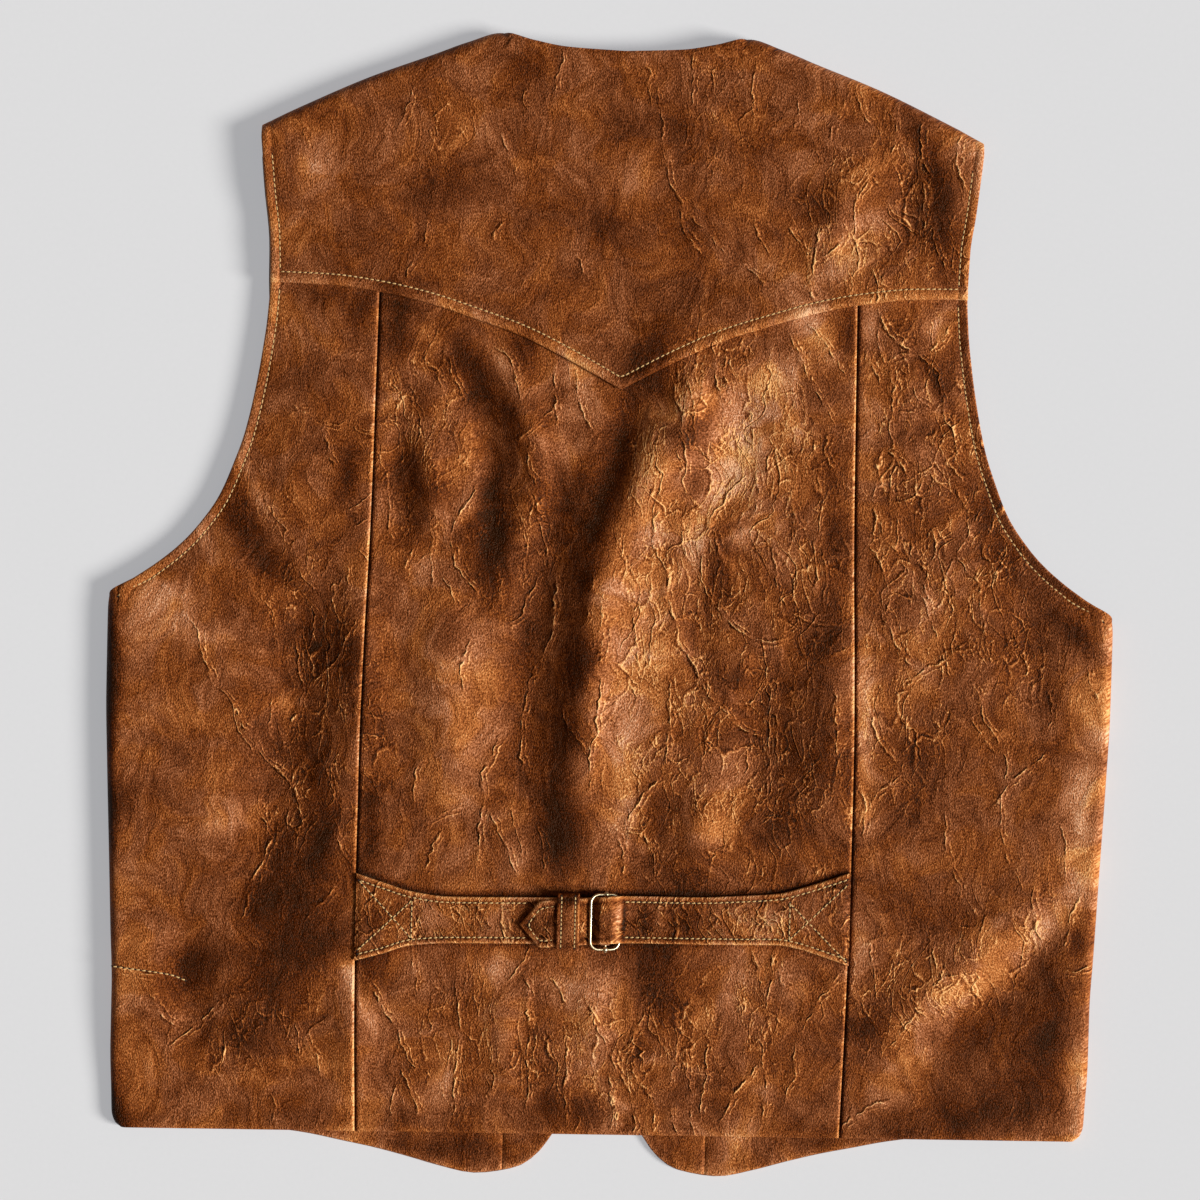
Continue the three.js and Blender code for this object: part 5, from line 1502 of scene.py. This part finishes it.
def strap(name, x, upper, lower, table, wrinkle, crackle, seed):
    """A strap with a round sewn edge on each side.

    upper and lower are x and z along it, wrinkle the height of its rumples in millimetres, and
    crackle how much its fine creases show.
    """
    top = through(table, 1)
    bottom = through(table, 2)
    near = np.array([0, 0.25, 0.6, 1.0, 1.6, 2.3, 3.0, 3.5, 4.0, 4.8])
    width = (top(x) - bottom(x))[:, None]
    rim = near * np.minimum(1, width / 14)
    middle = lerp(rim[:, -1:], width - rim[:, -1:], np.linspace(0, 1, 17)[1:-1])
    across = np.concatenate([rim, middle, width - rim[:, ::-1]], 1)
    y = bottom(x)[:, None] + across
    distance = np.minimum(across, width - across)
    slope = np.gradient(top(x)) / np.maximum(np.gradient(x), 1e-3)
    square = 1 / np.sqrt(1 + np.minimum(np.abs(slope), 1.3) ** 2)[:, None]
    distance = distance * square
    form = 0.3 * bell(distance - 1.7, 1.2) - 0.4 * bell(distance - STRAP_ROW, 0.8)
    form = form - rounding(distance, 1.0)
    u = upper[0][:, None] + 0 * y
    calm = smooth(distance, 1, 4)
    lean = u + 0.7 * y
    rumple = noise(lean + 2 * noise(u, y, 9, seed + 5), y, 4.5, seed)
    rumple = rumple + 0.6 * noise(lean, y, 8, seed + 1)
    form = form + wrinkle * (0.25 + 0.75 * calm) * rumple
    skived = 1.3 * smooth(np.abs(u), STRAP_SEWN - 4, STRAP_SEWN)
    outer = grid(u, y, upper[1][:, None] + form - skived)
    inner = grid(lower[0][:, None] + 0 * y, y, lower[1][:, None] + 0 * y)
    worn_and_lit_edges = 1.5 * bell(distance, 1.5) - 0.8 * bell(distance - STRAP_ROW, 1.0)
    values = panel_values(u, y, worn_and_lit_edges)
    values["crumple"] = np.full(u.shape, crackle) * (1 - 0.6 * bell(u - ROLL_X, 9))
    lane = (lean + 3 * noise(u, y, 9, seed + 7)) / STRAP_CREASE_PITCH
    unsewn = 1 - smooth(np.abs(u), STRAP_BOX, STRAP_BOX + 6) - bell(u - ROLL_X, 8)
    patchy = smooth(noise(1.3 * lean, 0.5 * y, 7, seed + 8), -0.25, 0.35)
    values["across"] = STRAP_CREASE_PITCH * (lane - np.round(lane))
    values["shown"] = np.clip(1.2 * calm * patchy * unsewn, 0, 1)
    # The tone follows the rumples as painted light on their tops and painted shade in their
    # hollows, and the patches add painted light and shade on the roll over the bar.
    values["tone"] = patches(BELT_TONE_AND_SHADE_PATCHES, u, y) + 0.35 * calm * wrinkle * rumple
    return shell(name, outer, inner, [BELT, INSIDE], values, coarse=2)


def under_strap():
    rise = through(STRAP_RISE_LEFT)
    x = np.concatenate([steps(-STRAP_SEWN, -12, 1.1), steps(-12, BAR_X, 0.7)[1:]])
    low = belt_height(x) + rise(x)
    thickness = lerp(STRAP, STRAP_END, smooth(x, -12, -3))
    angle = np.linspace(-np.pi / 2, np.pi / 2, 19)[1:]
    centre_z = SEAT_AT_BUCKLE + BAR_RISE
    tail = BAR_X - 2.6
    # The strap turns over at the bar, so its upper face becomes the loop's inner one.
    low_x = np.concatenate([x, BAR_X + LOOP_OUTER * np.cos(angle), [tail]])
    low_z = np.concatenate([low, centre_z + LOOP_OUTER * np.sin(angle),
                            [centre_z + LOOP_OUTER - 0.2]])
    high_x = np.concatenate([x, BAR_X + LOOP_INNER * np.cos(angle), [tail]])
    high_z = np.concatenate([low + thickness, centre_z + LOOP_INNER * np.sin(angle),
                             [centre_z + LOOP_INNER + 0.1]])
    along = np.concatenate([x, np.full(len(angle) + 1, float(BAR_X))])
    upper = (high_x, high_z)
    return strap("belt_under_strap", along, upper, (low_x, low_z), BELT_LEFT, 0.2, 0.7, 61)


def over_strap():
    rise = through(STRAP_RISE_RIGHT)
    x = np.concatenate([steps(-50.1, -36, 0.5), steps(-36, -12, 1)[1:], steps(-12, 16, 0.6)[1:],
                        steps(16, STRAP_SEWN, 1.0)[1:]])
    low = belt_height(x) + rise(x)
    return strap("belt_over_strap", x, (x, low + STRAP), (x, low), BELT_RIGHT, 0.38, 1.0, 71)


def rounded_rectangle(width, height, corner, count):
    """Points round a rectangle with round corners, starting at its lower right."""
    points = []
    for k, (right, up) in enumerate([(1, -1), (1, 1), (-1, 1), (-1, -1)]):
        for angle in np.linspace(k * np.pi / 2 - np.pi / 2, k * np.pi / 2, 9):
            points.append((right * (width / 2 - corner) + corner * math.cos(angle),
                           up * (height / 2 - corner) + corner * math.sin(angle)))
    points = np.array([*points, points[0]])
    run = length_along(points)
    at = np.linspace(0, run[-1], count + 1)
    return np.stack([np.interp(at, run, points[:, 0]), np.interp(at, run, points[:, 1])], 1)


def keeper():
    low = SEAT_AT_BUCKLE
    high = SEAT_AT_BUCKLE + KEEPER_HEIGHT
    count = 150
    outline = rounded_rectangle(2 * KEEPER_HALF, high - low, 2.2, count)
    hole = rounded_rectangle(2 * (KEEPER_HALF - KEEPER_WALL), high - low - 2 * KEEPER_WALL,
                             0.9, count)
    wide = KEEPER_RIGHT - KEEPER_LEFT
    along = np.array([0, 0.2, 0.5, 0.9, 1.5, 2.1, 2.6, 3.1, 3.8, 5, 6.75])
    along = np.concatenate([along, wide - along[-2::-1]])
    distance = np.minimum(along, wide - along)
    groove = 0.3 * bell(distance - KEEPER_ROW, 0.7)
    drop = rounding(distance, 0.75) + groove
    middle = np.array([0.0, (low + high) / 2])
    grow = 1 - drop[None, :, None] / np.array([KEEPER_HALF, (high - low) / 2])
    outer = outline[:, None, :] * grow
    inner = hole[:, None, :] * np.ones((1, len(along), 1))
    x = np.broadcast_to(KEEPER_LEFT + along, outer.shape[:2])
    outer = grid(x, KEEPER_Y + outer[..., 0], middle[1] + outer[..., 1])
    inner = grid(x, KEEPER_Y + inner[..., 0], middle[1] + inner[..., 1])
    worn_and_lit_edges = np.broadcast_to(0.9 * bell(distance, 1.1), x.shape)
    values = panel_values(x, outer[..., 1], worn_and_lit_edges)
    return shell("belt_keeper_loop", outer, inner, [BELT, INSIDE], values, coarse=1, closed=True)


def tube(points, radius, sides=14, closed=True):
    """A round wire along points. radius may be a list, one for each point."""
    points = np.asarray(points, float)
    count = len(points)
    ahead = np.roll(points, -1, 0) - np.roll(points, 1, 0)
    if not closed:
        ahead[0] = points[1] - points[0]
        ahead[-1] = points[-1] - points[-2]
    ahead /= np.linalg.norm(ahead, axis=1)[:, None]
    side = np.cross(ahead, (0, 0, 1.0))
    side /= np.linalg.norm(side, axis=1)[:, None]
    up = np.cross(side, ahead)
    angle = 2 * np.pi * np.arange(sides) / sides
    size = np.broadcast_to(radius, (count,))[:, None, None]
    ring = points[:, None] + size * (np.cos(angle)[None, :, None] * side[:, None]
                                     + np.sin(angle)[None, :, None] * up[:, None])
    faces = []
    for k in range(count if closed else count - 1):
        after = (k + 1) % count
        for s in range(sides):
            n = (s + 1) % sides
            faces.append([k * sides + s, k * sides + n, after * sides + n, after * sides + s])
    if not closed:
        faces.append(list(range(sides))[::-1])
        faces.append([(count - 1) * sides + s for s in range(sides)])
    return ring.reshape(-1, 3), [face[::-1] for face in faces]


def buckle_z(x):
    return SEAT_AT_BUCKLE + BUCKLE_HIGH + (x - BUCKLE_LEFT) * BUCKLE_SLOPE


def buckle_frame():
    width = BUCKLE_RIGHT - BUCKLE_LEFT
    outline = rounded_rectangle(width, 2 * BUCKLE_HALF, BUCKLE_CORNER, 150)[:-1]
    x = outline[:, 0] + (BUCKLE_LEFT + BUCKLE_RIGHT) / 2
    points = np.stack([x, outline[:, 1] + BUCKLE_Y, buckle_z(x)], 1)
    return make_object("buckle_wire", *tube(points, WIRE), [BUCKLE_METAL])


def buckle_bar():
    """The sliding bar, with a bead round each rail."""
    z = SEAT_AT_BUCKLE + BAR_RISE
    eye = steps(-EYE, EYE, 0.22)
    y = np.concatenate([eye - BUCKLE_HALF, steps(-14, 14, 1), eye + BUCKLE_HALF])
    off = np.abs(np.abs(y) - BUCKLE_HALF)
    size = np.where(off < EYE, np.sqrt(np.maximum(EYE ** 2 - off ** 2, 0.02)), WIRE)
    size = np.where((np.abs(y) < BUCKLE_HALF) & (size < WIRE), WIRE, size)
    points = np.stack([np.full(len(y), float(BAR_X)), BUCKLE_Y + y, np.full(len(y), z)], 1)
    return make_object("buckle_slide_bar", *tube(points, size, 16, closed=False), [BUCKLE_METAL])


def belt_stitches():
    left_top, left_bottom = through(BELT_LEFT, 1), through(BELT_LEFT, 2)
    right_top, right_bottom = through(BELT_RIGHT, 1), through(BELT_RIGHT, 2)
    rise_left, rise_right = through(STRAP_RISE_LEFT), through(STRAP_RISE_RIGHT)

    def left_z(x):
        return belt_height(x) + rise_left(x) + STRAP - STRAP_SINK

    def right_z(x):
        return belt_height(x) + rise_right(x) + STRAP - STRAP_SINK

    rows = []
    x = steps(-147.5, -46, 0.8)
    for line, sign in ((left_top, -1), (left_bottom, 1)):
        rows.append(np.stack([x, line(x) + sign * STRAP_ROW * 1.03, left_z(x)], 1))
    x = steps(13, 147.5, 0.8)
    for line, sign in ((right_top, -1), (right_bottom, 1)):
        rows.append(np.stack([x, line(x) + sign * STRAP_ROW * 1.03, right_z(x)], 1))
    boxes = [  # the crossed boxes that hold the ends down: start, end, height along it
        ((-147.9, -169.7), (-115.5, -203.9), left_z), ((-148, -212.1), (-115.5, -180.9), left_z),
        ((-115.5, -180.9), (-115.5, -203.9), left_z),
        ((113, -177), (148, -211.6), right_z), ((113, -199), (147.4, -165), right_z),
        ((113, -176), (113, -199.5), right_z),
    ]
    for (x0, y0), (x1, y1), z_at in boxes:
        t = np.linspace(0, 1, 40)
        x = lerp(x0, x1, t)
        rows.append(np.stack([x, lerp(y0, y1, t), z_at(x) + STRAP_SINK], 1))
    tip = np.array([(-29, -182), (-37.5, -183.6), (-40.5, -187), (-45.2, -193.8), (-40.5, -200.6),
                    (-37.5, -203.4), (-29, -202.2)])
    rows.append(np.column_stack([tip, right_z(tip[:, 0])]))
    return rows


def keeper_stitches():
    top = SEAT_AT_BUCKLE + KEEPER_HEIGHT - 0.28
    y = steps(KEEPER_Y - KEEPER_HALF + 1.6, KEEPER_Y + KEEPER_HALF - 1.6, 0.8)
    return [grid(x, y, top) for x in (KEEPER_LEFT + KEEPER_ROW, KEEPER_RIGHT - KEEPER_ROW)]


def pocket_stitches():
    x = steps(-295.9, -251.5, 0.8)
    line = through([(-295.9, -225.6), (-260.7, -230.1), (-251.5, -233.5)])
    y = line(x)
    return [np.stack([x, y, back_height(x, y) + relief(x, y)], 1)]


# Putting it together

def cloth(thing, nodes):
    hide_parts(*nodes)


cloth(yoke(), ["back_yoke"])
cloth(centre(), ["back_centre"])
for side, word, area in ((-1, "left", 0.0724), (1, "right", 0.0716)):
    cloth(side_panel(side, f"side_leather_{word}"), [f"back_side_{word}"])
for side, word, area in ((-1, "left", 0.157), (1, "right", 0.1555)):
    cloth(front(side, f"front_leather_{word}"), [f"front_{word}"])
cloth(facing(-1, 10, 56.85, "front_facing_leather_left"), ["front_facing_left"])
cloth(facing(1, 10, 65.85, "front_facing_leather_right"), ["front_facing_right"])
cloth(facing(-1, 57.15, 205, "hem_facing_leather_left"), ["hem_facing_left"])
cloth(facing(1, 66.15, 205, "hem_facing_leather_right"), ["hem_facing_right"])
cloth(lining_strip(), ["armhole_lining_left"])
cloth(under_strap(), ["belt_left"])
cloth(over_strap(), ["belt_right"])
cloth(keeper(), ["belt_keeper"])

frame_wire = buckle_frame()
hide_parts("buckle_frame")
bar_wire = buckle_bar()
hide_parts("buckle_bar")
for number in (1, 2, 3, 4):
    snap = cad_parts[f"snap_{number}"]
    snap.data.materials.clear()
    snap.data.materials.append(SNAP_METAL)

stitch_rows("yoke_stitching", [yoke_stitches()])
stitch_rows("armhole_stitching_left", armhole_stitches(-1))
stitch_rows("armhole_stitching_right", armhole_stitches(1))
stitch_rows("belt_stitching", belt_stitches(), 3.3)
stitch_rows("keeper_stitching", keeper_stitches(), 2.6)
stitch_rows("pocket_stitching", pocket_stitches())


# Stage

IMAGE_CENTRE = (-6.6, 3.5)
FRAME_WIDTH = 726
ROLL = 1.5
CAMERA_HEIGHT = 2600
SENSOR = 36
SUN_STRENGTH = 4.7
SUN_SPREAD = 20  # degrees
SKY_STRENGTH = 0.14
FLOOR_HALF = 12000
FLOOR_GLOW = 0.384

scene = bpy.context.scene
scene.view_settings.view_transform = "Standard"

camera_data = bpy.data.cameras.new("camera")
camera_data.sensor_width = SENSOR
camera_data.lens = SENSOR * (CAMERA_HEIGHT - REST_HEIGHT) / FRAME_WIDTH
camera_data.clip_start = 0.05
camera_data.clip_end = 40
camera = bpy.data.objects.new("camera", camera_data)
camera.location = (IMAGE_CENTRE[0] * MM, IMAGE_CENTRE[1] * MM, CAMERA_HEIGHT * MM)
camera.rotation_euler = (0, 0, math.radians(ROLL))
scene.collection.objects.link(camera)
scene.camera = camera

sun_data = bpy.data.lights.new("key", "SUN")
sun_data.energy = SUN_STRENGTH
sun_data.angle = math.radians(SUN_SPREAD)
sun_data.color = (1.0, 0.985, 0.96)
sun = bpy.data.objects.new("key", sun_data)
sun.rotation_euler = mathutils.Vector(KEY_FROM).to_track_quat("Z", "Y").to_euler()
scene.collection.objects.link(sun)

world = bpy.data.worlds.new("studio")
world.use_nodes = True
world.node_tree.nodes["Background"].inputs["Color"].default_value = (1.0, 0.8, 0.6, 1)
world.node_tree.nodes["Background"].inputs["Strength"].default_value = SKY_STRENGTH
scene.world = world

floor_mesh = bpy.data.meshes.new("floor")
half = FLOOR_HALF * MM
corners = [(-half, -half, 0), (half, -half, 0), (half, half, 0), (-half, half, 0)]
floor_mesh.from_pydata(corners, [], [(0, 1, 2, 3)])
floor_shader = Shader("pale_floor")
paper = floor_shader.noise(floor_shader.place(), 3.0, 3.0)
grey = floor_shader.ramp(paper, [(0.3, (0.41, 0.41, 0.41, 1)), (0.7, (0.42, 0.42, 0.42, 1))])
floor_mesh.materials.append(floor_shader.finish(
    Base_Color=grey, Roughness=0.9, Specular_IOR_Level=0.0,
    Emission_Color=(0.906, 0.9375, 1, 1), Emission_Strength=FLOOR_GLOW))
floor = bpy.data.objects.new("floor", floor_mesh)
scene.collection.objects.link(floor)
